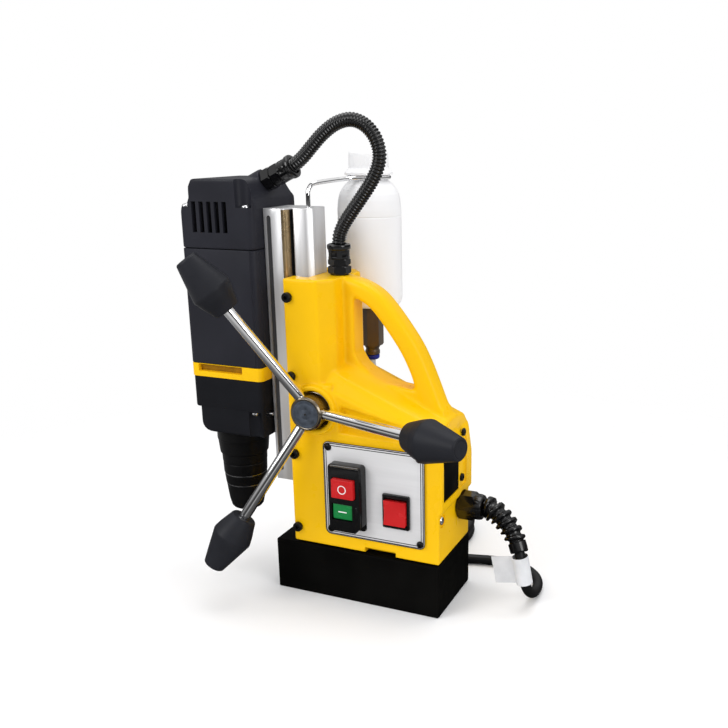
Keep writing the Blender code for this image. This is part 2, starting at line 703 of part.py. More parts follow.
def make_gland(prefix, foot, axis, body_length, nut_length):
    """A threaded body with a hexagon, and the nut that holds the conduit on it."""
    axis = Vector(axis).normalized()
    body = rod(prefix + "_body", "nylon_black", foot + axis * 0.0014, foot + axis * body_length,
               0.0104, 6)
    join(body, rod(prefix + "_thread", None, foot - axis * 0.009, foot + axis * 0.003, 0.0079, 24))
    turned(prefix + "_nut", "nylon_black", gland_profile(nut_length),
           foot + axis * (body_length + GAP), axis, steps=20, closed=True)


def make_conduit():
    make_gland("column_gland", Vector((GLAND_X, 0, COLUMN_TOP)), (0, 0, 1), 0.014, 0.0130)
    make_gland("motor_gland", MOTOR_GLAND_START, MOTOR_GLAND_AXIS, 0.020, 0.0130)
    tube("conduit", "nylon_black", smooth_path(CONDUIT_ROUTE, 0.012), CONDUIT_RADIUS, 2)


# ---------------------------------------------------------------- carriage

def make_slide():
    half = [(-90, 21), (-89, 22), (-70.5, 22), (-69, 21), (-67.5, 11.5), (-65, 11.5), (-63.4, 16),
            (-49.5, 22), (-47.6, 22), (-46, 20.4), (-46, 5.4), (-52.4, 5.4)]
    outline = half + [(x, -y) for x, y in reversed(half)]
    slide = upright("slide", "slide_aluminium", [flat(outline)], SLIDE_LOW, SLIDE_HIGH)
    for middle in (-0.0225, 0.0225):
        cut(slide, sideways("slide_groove", None, [rounded((-0.0870, 0.112), (-0.0820, 0.3500), 0.00249)],
                            middle - 0.0020, middle + 0.0020))
    cut(slide, rod("wire_hole", None, (-0.056, 0, SLIDE_HIGH - 0.010),
                   (-0.056, 0, SLIDE_HIGH + 0.004), WIRE_RADIUS + GAP, 16))


def make_rack():
    """Rack teeth that face the pinion, with a gap at the pinion's height."""
    pitch = math.pi * FEED_MODULE
    line = FEED_X - FEED_PITCH_RADIUS
    tip, root = line + 0.82 * FEED_MODULE, line - 1.2 * FEED_MODULE
    low, high = SLIDE_LOW + 0.002, SLIDE_HIGH - 0.003
    first = math.ceil((low + pitch - FEED_Z) / pitch - 0.5)
    points = [(RACK_BACK, high), (RACK_BACK, low), (root, low)]
    number = first
    while FEED_Z + (number + 0.5) * pitch < high - pitch / 2:
        centre = FEED_Z + (number + 0.5) * pitch
        points += [(root, centre - 0.31 * pitch), (tip, centre - 0.115 * pitch),
                   (tip, centre + 0.115 * pitch), (root, centre + 0.31 * pitch)]
        number += 1
    points.append((root, high))
    return sideways("feed_rack", "steel", [points], -RACK_HALF_WIDTH, RACK_HALF_WIDTH)


def unit_outline(inset=0.0, corner=UNIT_CORNER, front=UNIT_FRONT):
    half = UNIT_HALF_WIDTH - inset
    return rounded((front + inset, -half), (UNIT_REAR - inset, half), max(corner - inset, 0.002), 4)


CAP_FRONT_CUT = [(-172, 348), (-168.2, 348), (-157, 371), (-151.5, 382), (-151.5, 390), (-172, 390)]


def make_motor():
    housing = upright("motor_housing", "unit_black", [unit_outline(), unit_outline(WALL)],
                      RING_HIGH + GAP, SEAM_HEIGHT - GAP)
    pad = block("motor_pad", None, (PAD_FRONT, -0.016, 0.285), (UNIT_REAR - 0.001, 0.016, 0.317))
    join(housing, pad)
    cut(housing, rod("motor_bolt_hole", None, (PAD_FRONT - 0.001, 0, 0.301), (-0.089, 0, 0.301), 0.0033, 16))

    cap = upright("motor_cap", "unit_black", [unit_outline()], SEAM_HEIGHT, CAP_TOP)
    foot = MOTOR_GLAND_START + MOTOR_GLAND_AXIS * 0.0008
    reach = MOTOR_GLAND_AXIS * 0.060
    along = Vector((-reach.z, 0, reach.x))
    slope = [foot - along, foot + along, foot + along + reach, foot - along + reach]
    cut(cap, prism("cap_slope", None, [(point.x, point.z) for point in slope], -0.050, 0.050))
    cut(cap, prism("cap_front", None, flat(CAP_FRONT_CUT), -0.050, 0.050))
    soften(cap, 0.0022, 2, 40)
    cut(cap, upright("cap_hollow", None, [unit_outline(WALL, 0.013, UNIT_FRONT + 0.010)],
                     SEAM_HEIGHT - 0.005, 0.3620))
    for number in range(5):
        x = -0.1535 + number * 0.0081
        for side in (-1, 1):
            cut(cap, block("vent", None, (x, side * 0.038 - 0.008, 0.3350),
                           (x + 0.0048, side * 0.038 + 0.008, 0.3620)))
    cut(cap, rod("gland_hole", None, MOTOR_GLAND_START - MOTOR_GLAND_AXIS * 0.030,
                 MOTOR_GLAND_START + MOTOR_GLAND_AXIS * 0.010, 0.0083, 24))

    ring = upright("motor_ring", "housing_yellow", [unit_outline(), unit_outline(0.006)],
                   RING_LOW, RING_HIGH)
    cut(ring, block("ring_window", None, (-0.158, -0.040, 0.2068), (-0.112, -0.0353, 0.2150)))
    stator_ring = [rounded((MOTOR_X - 0.029, -0.0335), (MOTOR_X + 0.029, 0.0335), 0.010, 3),
                   [(MOTOR_X + 0.0212 * math.cos(a), 0.0212 * math.sin(a))
                    for a in (2 * math.pi * k / 24 for k in range(24))]]
    upright("stator", "copper", stator_ring, 0.232, 0.292)


GEARBOX_LOWER = [(-161.5, 176), (-161.5, 156), (-159.5, 151), (-155.5, 148), (-148, 146.8),
                 (-94, 146.8), (-92, 150), (-92, 176)]


def make_gearbox():
    body = upright("gearbox", "gearbox_black", [unit_outline(0.0008)], 0.1712, GEARBOX_TOP)
    lower = prism("gearbox_lower", None, flat(GEARBOX_LOWER), -0.0366, 0.0330)
    nose = rod("gearbox_nose", None, (SPINDLE_X, 0, 0.1440), (SPINDLE_X, 0, 0.1500), 0.0262, 32, 0.0290)
    join(body, soften(lower, 0.0050, 3, 60), nose)
    cavity = upright("gear_room", None, [rounded((-0.1615, -0.0335), (-0.1000, 0.0340), 0.014, 4)],
                     0.1745, 0.2050)
    step = rod("bearing_room", None, (SPINDLE_X, 0, 0.1600), (SPINDLE_X, 0, 0.1750), 0.0152, 32)
    bore = rod("spindle_bore", None, (SPINDLE_X, 0, 0.1400), (SPINDLE_X, 0, 0.1620), 0.0102, 32)
    lay = rod("lay_bore", None, (LAYSHAFT_X, LAYSHAFT_Y, 0.1630),
              (LAYSHAFT_X, LAYSHAFT_Y, 0.1750), 0.0041, 16)
    cut(body, cavity, step, bore, lay)
    for side in (-1, 1):
        cut(body, rod("mount_hole", None, (-0.1000, 0.0125 * side, 0.1765),
                      (-0.0890, 0.0125 * side, 0.1765), 0.0033, 16))
        mount_bolt(f"gearbox_bolt_{1 if side < 0 else 2}", (0, 0.0125 * side, 0.1765))
    mount_bolt("motor_bolt", (0, 0, 0.301))


def mount_bolt(name, place):
    """A stud between the drill unit's pad and the carriage."""
    x_start, x_end = PAD_FRONT, SLIDE_FRONT - 2 * GAP
    rod(name, "steel", (x_start, place[1], place[2]), (x_end, place[1], place[2]), 0.0030, 12)


def make_spindle():
    """The arbor with its tool socket, its bearing, and its gear on the shaft."""
    arbor = turned("arbor", "arbor_black", [
        (0, 0.1857), (0.0090, 0.1857), (0.0098, 0.1849), (0.0098, ARBOR_HIGH),
        (0.0255, ARBOR_HIGH), (0.0255, 0.1330), (0.0236, 0.1190), (0.0222, 0.1182), (0.0216, 0.1092), (0.0210, 0.1086), (0.0207, 0.0972),
        (0.0200, 0.0966), (0.0192, 0.0865), (0.0184, 0.0860), (0.0158, 0.0625), (0.0135, ARBOR_LOW),
        (0.0096, ARBOR_LOW), (0.0096, ARBOR_LOW + 0.035), (0, ARBOR_LOW + 0.035)],
        (SPINDLE_X, 0, 0), steps=24)
    turned("spindle_bearing", "steel", [
        (0.0151, 0.1740), (0.0151, 0.1625), (0.00988, 0.1625), (0.00988, 0.1740)],
        (SPINDLE_X, 0, 0), steps=24, closed=True)
    bore = [(SPINDLE_X + 0.0099 * math.cos(a), 0.0099 * math.sin(a))
            for a in (2 * math.pi * k / 36 for k in range(36))]
    toward_lay = math.atan2(LAYSHAFT_Y, LAYSHAFT_X - SPINDLE_X)
    gear = upright("spindle_gear", "steel",
                   [gear_points(SPINDLE_TEETH, GEAR_MODULE, toward_lay, (SPINDLE_X, 0)), bore],
                   0.1760, 0.1850)
    attach(group("spindle_axis", (SPINDLE_X, 0, 0.15)), [arbor, gear])


def make_layshaft():
    centre = (LAYSHAFT_X, LAYSHAFT_Y)
    to_spindle = math.atan2(-LAYSHAFT_Y, SPINDLE_X - LAYSHAFT_X)
    to_motor = math.atan2(-LAYSHAFT_Y, MOTOR_X - LAYSHAFT_X)
    small_phase = to_spindle + math.pi / LAY_SMALL_TEETH
    shaft = turned("layshaft", "steel", [
        (0, 0.1995), (0.0038, 0.1995), (0.0038, 0.1640), (0, 0.1640)],
        (*centre, 0), steps=20)
    small = upright("lay_pinion", None, [gear_points(LAY_SMALL_TEETH, GEAR_MODULE, small_phase, centre)],
                    0.1755, 0.1858)
    large = upright("lay_gear", None, [gear_points(LAY_LARGE_TEETH, GEAR_MODULE, to_motor, centre)],
                    0.1865, 0.1945)
    hub = rod("lay_hub", None, (*centre, 0.1850), (*centre, 0.1870), 0.0047, 20)
    join(shaft, small, large, hub)
    attach(group("lay_axis", (*centre, 0.18)), [shaft])


def make_armature():
    centre = (MOTOR_X, 0)
    toward_lay = math.atan2(LAYSHAFT_Y, LAYSHAFT_X - MOTOR_X)
    phase = toward_lay + math.pi / ARMATURE_TEETH
    armature = turned("armature", "copper", [
        (0, 0.350), (0.0040, 0.350), (0.0040, 0.330), (0.0120, 0.330), (0.0120, 0.306),
        (0.0050, 0.306), (0.0050, 0.2940), (0.0205, 0.2900), (0.0205, 0.2340), (0.0050, 0.2300),
        (0.0050, 0.2270), (0.0260, 0.2262), (0.0260, 0.2190), (0.0050, 0.2180), (0.0050, 0.2050),
        (0.0036, 0.2040), (0.0036, 0.1870), (0, 0.1870)], (*centre, 0), steps=20)
    pinion = upright("motor_pinion", None, [gear_points(ARMATURE_TEETH, GEAR_MODULE, phase, centre)],
                     0.1864, 0.1950)
    join(armature, pinion)
    attach(group("armature_axis", (*centre, 0.26)), [armature])


# ---------------------------------------------------------------- coolant

def make_coolant():
    radius = BOTTLE_RADIUS
    wall = 0.0016
    high = BOTTLE_HIGH
    outer = [(0.0160, high), (0.0160, 0.3785), (0.0185, 0.3765), (0.0255, 0.3690), (0.0292, 0.3600),
             (radius, 0.3490), (radius, 0.3445), (radius - 0.0004, 0.3437), (radius, 0.3430),
             (radius, BOTTLE_LOW + 0.006), (radius - 0.0025, BOTTLE_LOW + 0.0015),
             (radius - 0.006, BOTTLE_LOW), (0, BOTTLE_LOW)]
    inner = [(0, BOTTLE_LOW + wall), (radius - 0.006 - wall, BOTTLE_LOW + wall),
             (radius - wall, BOTTLE_LOW + 0.007), (radius - wall, 0.3485),
             (0.0276, 0.3595), (0.0243, 0.3680), (0.0144, 0.3775), (0.0144, high)]
    turned("coolant_bottle", "bottle_white", outer + inner, (BOTTLE_X, BOTTLE_Y, 0), steps=20)
    mesh = bpy.data.objects["coolant_bottle"].data
    close_profile(mesh, len(outer) + len(inner))
    turned("bottle_cap", "bottle_white", [
        (0, 0.4040), (0.0170, 0.4040), (0.0182, 0.4020), (0.0187, 0.3880), (0.0225, 0.3840),
        (0.0225, 0.3815), (0.0164, 0.3815), (0.0164, high + GAP), (0, high + GAP)],
        (BOTTLE_X, BOTTLE_Y, 0), steps=20)

    ring_radius = 0.0190
    ring_height = 0.3792
    start = math.atan2(-BOTTLE_Y, -0.056 - BOTTLE_X)
    ring = [(BOTTLE_X + ring_radius * math.cos(a), BOTTLE_Y + ring_radius * math.sin(a), ring_height)
            for a in (start + math.radians(25 + 15 * k) for k in range(21))]
    entry = mm((-56, 0, 347), (-56, 0, 365), (-56, 0.6, 370), (-55, 3, 374.2), (-53.4, 8, 376.4),
               (-47, 27, 378), (-39.5, 46, 379))
    tube("bottle_bracket", "chrome", entry + [Vector(point) for point in ring], WIRE_RADIUS, 2)

    turned("drip_valve", "valve_bronze", [
        (0, BOTTLE_LOW - GAP), (0.0085, BOTTLE_LOW - GAP), (0.0105, 0.2560), (0.0105, 0.2205),
        (0.0085, 0.2175), (0.0072, 0.2165), (0.0072, 0.2095), (0, 0.2095)],
        (BOTTLE_X, BOTTLE_Y, 0), steps=6)
    turned("hose_collar", "collar_blue", [
        (0, 0.2092), (0.0068, 0.2092), (0.0068, 0.2055), (0.0050, 0.2045), (0, 0.2045)],
        (BOTTLE_X, BOTTLE_Y, 0), steps=20)
    tube("coolant_tube", "tube_clear", smooth_path(COOLANT_ROUTE, 0.007), 0.0030, 2)
    turned("tube_elbow", "brass", [
        (0, 0.0130), (0.0040, 0.0130), (0.0040, 0.0070), (0.0052, 0.0068), (0.0052, 0.0), (0, 0.0)],
        COOLANT_INLET, (0, 1, 0), steps=6)


COOLANT_INLET = Vector((-0.1290, 0.0333, 0.1630))
COOLANT_ROUTE = mm((-31, 71.2, 203.9), (-30.6, 71.2, 196), (-28.4, 70.8, 186.5), (-26.2, 69.6, 177),
                   (-26.4, 67.3, 166.5), (-31.5, 64.5, 156), (-43, 62.5, 148.5), (-60, 61.5, 145),
                   (-80, 61.5, 144.5), (-98, 62, 147), (-113, 61.8, 152.5), (-124, 59.8, 158.8),
                   (-128.5, 55.0, 162.4), (-129, 50.5, 163), (-129, 46.75, 163))


def close_profile(mesh, count):
    """Join a profile's last point to its first, so that it turns into a closed wall."""
    shape = bmesh.new()
    shape.from_mesh(mesh)
    shape.verts.ensure_lookup_table()
    shape.edges.new((shape.verts[count - 1], shape.verts[0]))
    for edge in list(shape.edges):
        if all(vertex.co.x < 1e-7 for vertex in edge.verts):
            shape.edges.remove(edge)
    shape.to_mesh(mesh)
    shape.free()


# ---------------------------------------------------------------- feed

def spoke_direction(number):
    angle = SPOKE_FIRST + number * math.radians(120)
    cone = math.cos(SPOKE_CONE)
    return Vector((cone * math.cos(angle), -math.sin(SPOKE_CONE), cone * math.sin(angle)))


def make_feed():
    axis = Vector((0, -1, 0))
    centre = (FEED_X, 0, FEED_Z)
    turned("pinion_bush", "brass", [
        (0.0090, 0.0350), (0.0090, 0.0135), (0.00712, 0.0135), (0.00712, 0.0350)],
        centre, axis, steps=28, closed=True)
    gear = gear_points(FEED_TEETH, FEED_MODULE, math.pi, (FEED_X, FEED_Z))
    shaft = rod("pinion_shaft", "steel", (FEED_X, 0.0255, FEED_Z), (FEED_X, -0.0520, FEED_Z),
                0.0070, 28)
    join(shaft, sideways("feed_pinion", None, [gear], -RACK_HALF_WIDTH, RACK_HALF_WIDTH))

    hub = turned("feed_hub", "hub_steel", [
        (0.0, 0.0560), (0.0132, 0.0560), (HUB_RADIUS, 0.0530), (HUB_RADIUS, 0.0400),
        (0.0167, 0.0395), (0.0167, 0.0360), (0.00712, 0.0360), (0.00712, 0.0524), (0, 0.0524)],
        centre, axis, steps=28)
    items = [shaft, hub]
    apex = Vector((FEED_X, SPOKE_APEX, FEED_Z))
    for number in range(3):
        direction = spoke_direction(number)
        socket = rod("spoke_socket", None, apex + direction * (SPOKE_START - 0.0002),
                     apex + direction * 0.030, SPOKE_RADIUS + 0.0001, 20)
        cut(hub, socket)
        items.append(rod(f"spoke_{number + 1}", "chrome", apex + direction * SPOKE_START,
                         apex + direction * (KNOB_START + 0.020), SPOKE_RADIUS, 16))
        items.append(make_knob(f"spoke_knob_{number + 1}", apex, direction))
    attach(group("feed_axis", centre), items)


def make_knob(name, apex, direction):
    length = KNOB_END - KNOB_START
    widest = 0.40 * length
    bore = SPOKE_RADIUS + 0.0001
    return turned(name, "knob_black", [
        (0, length), (0.0086, length), (0.0096, length - 0.0012), (0.0177, widest + 0.002),
        (0.0181, widest), (0.0176, widest - 0.0025), (0.0115, 0.0008), (0.0108, 0),
        (bore, 0), (bore, 0.0203), (0, 0.0203)], apex + direction * KNOB_START, direction, steps=16)


def make_carriage():
    make_slide()
    make_rack()
    make_motor()
    make_gearbox()
    make_coolant()


make_magnet()
make_housing()
make_gib()
make_controls()
make_rear()
make_cord()
make_conduit()
make_carriage()
make_spindle()
make_layshaft()
make_armature()
make_feed()
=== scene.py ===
"""The looks of the magnetic drill press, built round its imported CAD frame.

Metres, +Z up, +X towards the cable side, the operator at -Y, as in the CAD model.
Lists of points are in millimetres and go through mm(), or flat() for profiles and outlines.
"""

import json
import math

import bmesh
import bpy
import numpy as np
from mathutils import Matrix, Vector


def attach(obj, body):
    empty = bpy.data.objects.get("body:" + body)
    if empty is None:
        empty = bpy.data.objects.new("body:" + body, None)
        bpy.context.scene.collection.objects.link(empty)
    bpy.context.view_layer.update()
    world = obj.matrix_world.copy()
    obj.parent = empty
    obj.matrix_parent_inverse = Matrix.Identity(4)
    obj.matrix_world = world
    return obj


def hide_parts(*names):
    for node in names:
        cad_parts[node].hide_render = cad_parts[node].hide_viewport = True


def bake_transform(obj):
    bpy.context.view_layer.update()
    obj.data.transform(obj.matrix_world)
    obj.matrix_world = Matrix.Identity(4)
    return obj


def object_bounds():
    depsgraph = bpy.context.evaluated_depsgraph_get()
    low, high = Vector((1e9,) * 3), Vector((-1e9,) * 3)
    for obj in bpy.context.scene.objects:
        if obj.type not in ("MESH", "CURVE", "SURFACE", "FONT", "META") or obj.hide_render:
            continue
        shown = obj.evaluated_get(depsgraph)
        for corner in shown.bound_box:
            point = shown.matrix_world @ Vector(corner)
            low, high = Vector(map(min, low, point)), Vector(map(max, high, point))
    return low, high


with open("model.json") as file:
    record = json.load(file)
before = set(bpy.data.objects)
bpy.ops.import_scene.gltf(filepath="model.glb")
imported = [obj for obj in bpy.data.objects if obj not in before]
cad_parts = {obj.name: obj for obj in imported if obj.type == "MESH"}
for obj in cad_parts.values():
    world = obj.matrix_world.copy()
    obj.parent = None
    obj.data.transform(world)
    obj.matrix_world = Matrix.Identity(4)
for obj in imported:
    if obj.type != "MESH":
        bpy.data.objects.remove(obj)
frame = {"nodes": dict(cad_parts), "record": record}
CAD_LOW, CAD_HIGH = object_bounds()

BODY_OF = {node: body for body, nodes in frame["record"]["behaviour"]["bodies"].items() for node in nodes}
SLOT_OF = {part["node"]: part["material_slot"] for part in frame["record"]["subparts"]}


# ---------------------------------------------------------------- small tools

AXIS_RADIUS = 0.00001
FILLET_STEPS = 4
SOFTENING = 0.5


def mm(*points):
    """Points in space, from millimetres."""
    return [Vector(point) * 0.001 for point in points]


def turn_to(axis):
    return Vector((0, 0, 1)).rotation_difference(Vector(axis))


def spline(route, steps):
    """A smooth curve through the route's points, with so many steps between each two."""
    route = [Vector(point) for point in route]
    padded = [2 * route[0] - route[1], *route, 2 * route[-1] - route[-2]]
    fine = []
    for a, b, c, d in zip(padded, padded[1:], padded[2:], padded[3:]):
        for step in range(steps):
            t = step / steps
            fine.append(0.5 * (2 * b + (c - a) * t + (2 * a - 5 * b + 4 * c - d) * t ** 2
                + (3 * b - a - 3 * c + d) * t ** 3))
    fine.append(route[-1])
    return fine


def smooth_path(route, spacing):
    """Points at an even spacing on a smooth curve through the route's points."""
    fine = spline(route, 16)
    total = sum((q - p).length for p, q in zip(fine, fine[1:]))
    count = max(2, round(total / spacing))
    points, travelled, wanted = [fine[0]], 0.0, 1
    for p, q in zip(fine, fine[1:]):
        step = (q - p).length
        while wanted < count and travelled + step >= wanted * total / count:
            points.append(p.lerp(q, (wanted * total / count - travelled) / step))
            wanted += 1
        travelled += step
    points.append(fine[-1])
    return points


def length_of(points):
    return sum((q - p).length for p, q in zip(points, points[1:]))


def tangents_of(points):
    behind, ahead = [points[0], *points[:-1]], [*points[1:], points[-1]]
    return [(after - before).normalized() for before, after in zip(behind, ahead)]


def link(name, mesh):
    item = bpy.data.objects.new(name, mesh)
    bpy.context.scene.collection.objects.link(item)
    return item


def solid(name, shape):
    """A new object from a BMesh, which is used up."""
    mesh = bpy.data.meshes.new(name)
    shape.to_mesh(mesh)
    shape.free()
    return link(name, mesh)


def bake(item):
    """Apply an object's modifiers and its placement to its mesh."""
    bpy.context.view_layer.update()
    mesh = bpy.data.meshes.new_from_object(item.evaluated_get(bpy.context.evaluated_depsgraph_get()))
    mesh.transform(item.matrix_world)
    item.modifiers.clear()
    old, item.data = item.data, mesh
    if isinstance(old, bpy.types.Mesh):
        bpy.data.meshes.remove(old)
    item.matrix_world = Matrix.Identity(4)
    return item


def smooth(item, angle=35):
    item.data.shade_smooth()
    item.data.set_sharp_from_angle(angle=math.radians(angle))
    return item


def soften(item, width, segments=3, angle=40):
    bevel = item.modifiers.new("rounded edges", "BEVEL")
    bevel.width = width
    bevel.segments = segments
    bevel.limit_method = "ANGLE"
    bevel.angle_limit = math.radians(angle)
    return item


def combine(item, operation, others):
    """Apply Booleans with the other solids, which are then removed."""
    for other in others:
        boolean = item.modifiers.new(operation, "BOOLEAN")
        boolean.operation = operation
        boolean.object = other
        boolean.solver = "MANIFOLD"
    bake(item)
    for other in others:
        bpy.data.objects.remove(other)
    return item


def cut(item, *others):
    return combine(item, "DIFFERENCE", others)


def join(item, *others):
    return combine(item, "UNION", others)


def skin(name, rings, caps=True, loop=False):
    """A mesh over rings of equally many points."""
    shape = bmesh.new()
    loops = [[shape.verts.new(point) for point in ring] for ring in rings]
    pairs = list(zip(loops, loops[1:]))
    if loop:
        pairs.append((loops[-1], loops[0]))
    for first, second in pairs:
        for index in range(len(first)):
            ahead = (index + 1) % len(first)
            shape.faces.new((first[index], first[ahead], second[ahead], second[index]))
    if caps and not loop:
        shape.faces.new(reversed(loops[0]))
        shape.faces.new(loops[-1])
    bmesh.ops.recalc_face_normals(shape, faces=shape.faces)
    return solid(name, shape)


def block(name, low, high, rounding=0.0, segments=3):
    low, high = Vector(low), Vector(high)
    shape = bmesh.new()
    bmesh.ops.create_cube(shape, size=1.0)
    bmesh.ops.scale(shape, vec=high - low, verts=shape.verts)
    bmesh.ops.translate(shape, vec=(low + high) / 2, verts=shape.verts)
    item = solid(name, shape)
    if rounding:
        soften(item, rounding, segments)
        bake(item)
    return item


def rod(name, start, end, radius, sides=48, end_radius=None):
    start, end = Vector(start), Vector(end)
    shape = bmesh.new()
    bmesh.ops.create_cone(shape, cap_ends=True, segments=sides, radius1=radius,
        radius2=radius if end_radius is None else end_radius, depth=(end - start).length)
    item = solid(name, shape)
    item.rotation_mode = "QUATERNION"
    item.rotation_quaternion = turn_to(end - start)
    item.location = (start + end) / 2
    return bake(item)


def prism(name, outline, near, far, upright=False):
    """An outline extruded along Y, or along Z if it stands upright."""
    place = (lambda a, b, c: (a, b, c)) if upright else (lambda a, b, c: (a, c, b))
    return skin(name, [[place(x, y, level) for x, y in outline] for level in (near, far)])


def rounded(low, high, radius, steps=6):
    """A rectangle with round corners, as 2D points."""
    corners = [(high[0] - radius, high[1] - radius, 0), (low[0] + radius, high[1] - radius, 90),
        (low[0] + radius, low[1] + radius, 180), (high[0] - radius, low[1] + radius, 270)]
    points = []
    for x, y, start in corners:
        for step in range(steps + 1):
            angle = math.radians(start + 90 * step / steps)
            points.append((x + radius * math.cos(angle), y + radius * math.sin(angle)))
    return points


def flat(*points):
    """Points of a profile or an outline, from millimetres."""
    return [(x * 0.001, z * 0.001) for x, z in points]


def filleted(profile, radius):
    """A profile whose inner corners are rounded by arcs of at most this radius."""
    points = [Vector((r, h)) for r, h in profile]
    result = [points[0]]
    for before, corner, after in zip(points, points[1:], points[2:]):
        reach = min(radius, (corner - before).length * 0.45, (after - corner).length * 0.45)
        start = corner + (before - corner).normalized() * reach
        end = corner + (after - corner).normalized() * reach
        for step in range(FILLET_STEPS + 1):
            t = step / FILLET_STEPS
            result.append((1 - t) ** 2 * start + 2 * t * (1 - t) * corner + t ** 2 * end)
    result.append(points[-1])
    return [(p.x, p.y) for p in result]


def turns(sides):
    """Even angles round a circle."""
    return [2 * math.pi * k / sides for k in range(sides)]


def lathe(name, profile, place, axis=(0, 0, 1), sides=64, fillet=0.0004, loop=False):
    """Turn a profile of (radius, height) points, whose ends are on the axis unless it loops."""
    profile = filleted(profile, fillet) if fillet else profile
    turn = turn_to(axis)
    place = Vector(place)
    rings = []
    for radius, height in profile:
        radius = max(radius, AXIS_RADIUS)
        round_points = [(radius * math.cos(a), radius * math.sin(a), height) for a in turns(sides)]
        rings.append([place + turn @ Vector(point) for point in round_points])
    return smooth(skin(name, rings, caps=not loop, loop=loop))


def relax(mesh, rounds, weight):
    """Round a mesh's edges by moving each point towards the mean of its neighbours."""
    count = len(mesh.vertices)
    points = np.empty(count * 3)
    mesh.vertices.foreach_get("co", points)
    points = points.reshape(-1, 3)
    ends = np.empty(len(mesh.edges) * 2, dtype=np.int64)
    mesh.edges.foreach_get("vertices", ends)
    a, b = ends.reshape(-1, 2).T
    degree = np.bincount(np.concatenate([a, b]), minlength=count)[:, None]
    share = weight(points)[:, None] if callable(weight) else weight
    for _ in range(rounds):
        sums = [np.bincount(a, points[b, k], count) + np.bincount(b, points[a, k], count) for k in range(3)]
        total = np.stack(sums, 1)
        points += share * (total / degree - points)
    mesh.vertices.foreach_set("co", points.ravel())
    mesh.update()


def cast(item, voxel, rounds):
    """Turn a rough solid into a cast or moulded one, with its edges rounded."""
    remesh = item.modifiers.new("cast", "REMESH")
    remesh.mode = "VOXEL"
    remesh.voxel_size = voxel
    bake(item)
    relax(item.data, rounds, SOFTENING)
    item.data.shade_smooth()
    return item


def sweep(name, points, radius_at, sides=20):
    """A tube along points whose radius is a function of the distance along it."""
    tangents = tangents_of(points)
    side = tangents[0].orthogonal().normalized()
    rings, travelled = [], 0.0
    for index, (point, tangent) in enumerate(zip(points, tangents)):
        if index:
            travelled += (point - points[index - 1]).length
            side = (tangents[index - 1].rotation_difference(tangent) @ side).normalized()
        side = (side - tangent * side.dot(tangent)).normalized()
        other = tangent.cross(side)
        radius = radius_at(travelled)
        rings.append([point + (side * math.cos(a) + other * math.sin(a)) * radius for a in turns(sides)])
    item = skin(name, rings)
    item.data.shade_smooth()
    return item


# ---------------------------------------------------------------- materials

LOOKS = {}


def new_node(tree, kind, inputs=None, **settings):
    """A new shader node, with its settings and with values or links on its inputs."""
    node = tree.nodes.new("ShaderNode" + kind)
    for name, value in settings.items():
        setattr(node, name, value)
    for key, value in (inputs or {}).items():
        if isinstance(value, bpy.types.NodeSocket):
            tree.links.new(value, node.inputs[key])
        else:
            node.inputs[key].default_value = value
    return node


def look(name, colour, roughness, metallic=0.0, **detail):
    """A procedural finish: colour patches, uneven gloss, grain or brush marks."""
    material = LOOKS[name] = bpy.data.materials.new(name)
    material.use_nodes = True
    tree = material.node_tree
    shader = tree.nodes["Principled BSDF"]
    shader.inputs["Metallic"].default_value = metallic
    shader.inputs["Specular IOR Level"].default_value = detail.get("specular", 0.5 if metallic else 0.18)
    for socket, value in detail.get("sockets", {}).items():
        shader.inputs[socket].default_value = value
    place = new_node(tree, "TexCoord").outputs["Object"]

    def noise(scale, stretch=(1, 1, 1), octaves=3.0):
        mapping = new_node(tree, "Mapping", {"Vector": place, "Scale": stretch})
        return new_node(tree, "TexNoise", {"Vector": mapping.outputs["Vector"], "Scale": scale,
            "Detail": octaves}).outputs["Fac"]

    shade = detail.get("shade", 0.10)
    ramp = new_node(tree, "ValToRGB")
    for element, position, change in zip(ramp.color_ramp.elements, (0.3, 0.7), (1 - shade, 1 + shade)):
        element.position = position
        element.color = (*(min(1.0, channel * change) for channel in colour), 1)
    brush = detail.get("brush")
    tone = noise(detail.get("patch", 25.0), brush or (1, 1, 1), 4.0 if brush else 2.0)
    tree.links.new(tone, ramp.inputs["Fac"])
    tree.links.new(ramp.outputs["Color"], shader.inputs["Base Color"])

    swing = detail.get("rough_swing", 0.06)
    rough_noise = noise(detail.get("rough_patch", 60.0), brush or (1, 1, 1), 3.0)
    spread = new_node(tree, "MapRange", {"Value": rough_noise, "From Min": 0.3, "From Max": 0.7,
        "To Min": max(0.02, roughness - swing), "To Max": roughness + swing})
    tree.links.new(spread.outputs["Result"], shader.inputs["Roughness"])

    bump = new_node(tree, "Bump", {"Strength": detail.get("bump", 0.15),
        "Distance": detail.get("bump_depth", 0.0004), "Height": noise(detail.get("grain", 700.0),
        detail.get("grain_stretch", brush or (1, 1, 1)), 2.0)})
    tree.links.new(bump.outputs["Normal"], shader.inputs["Normal"])
    return material


ALONG_X = (0.04, 1, 1)
ALONG_Z = (1, 1, 0.03)

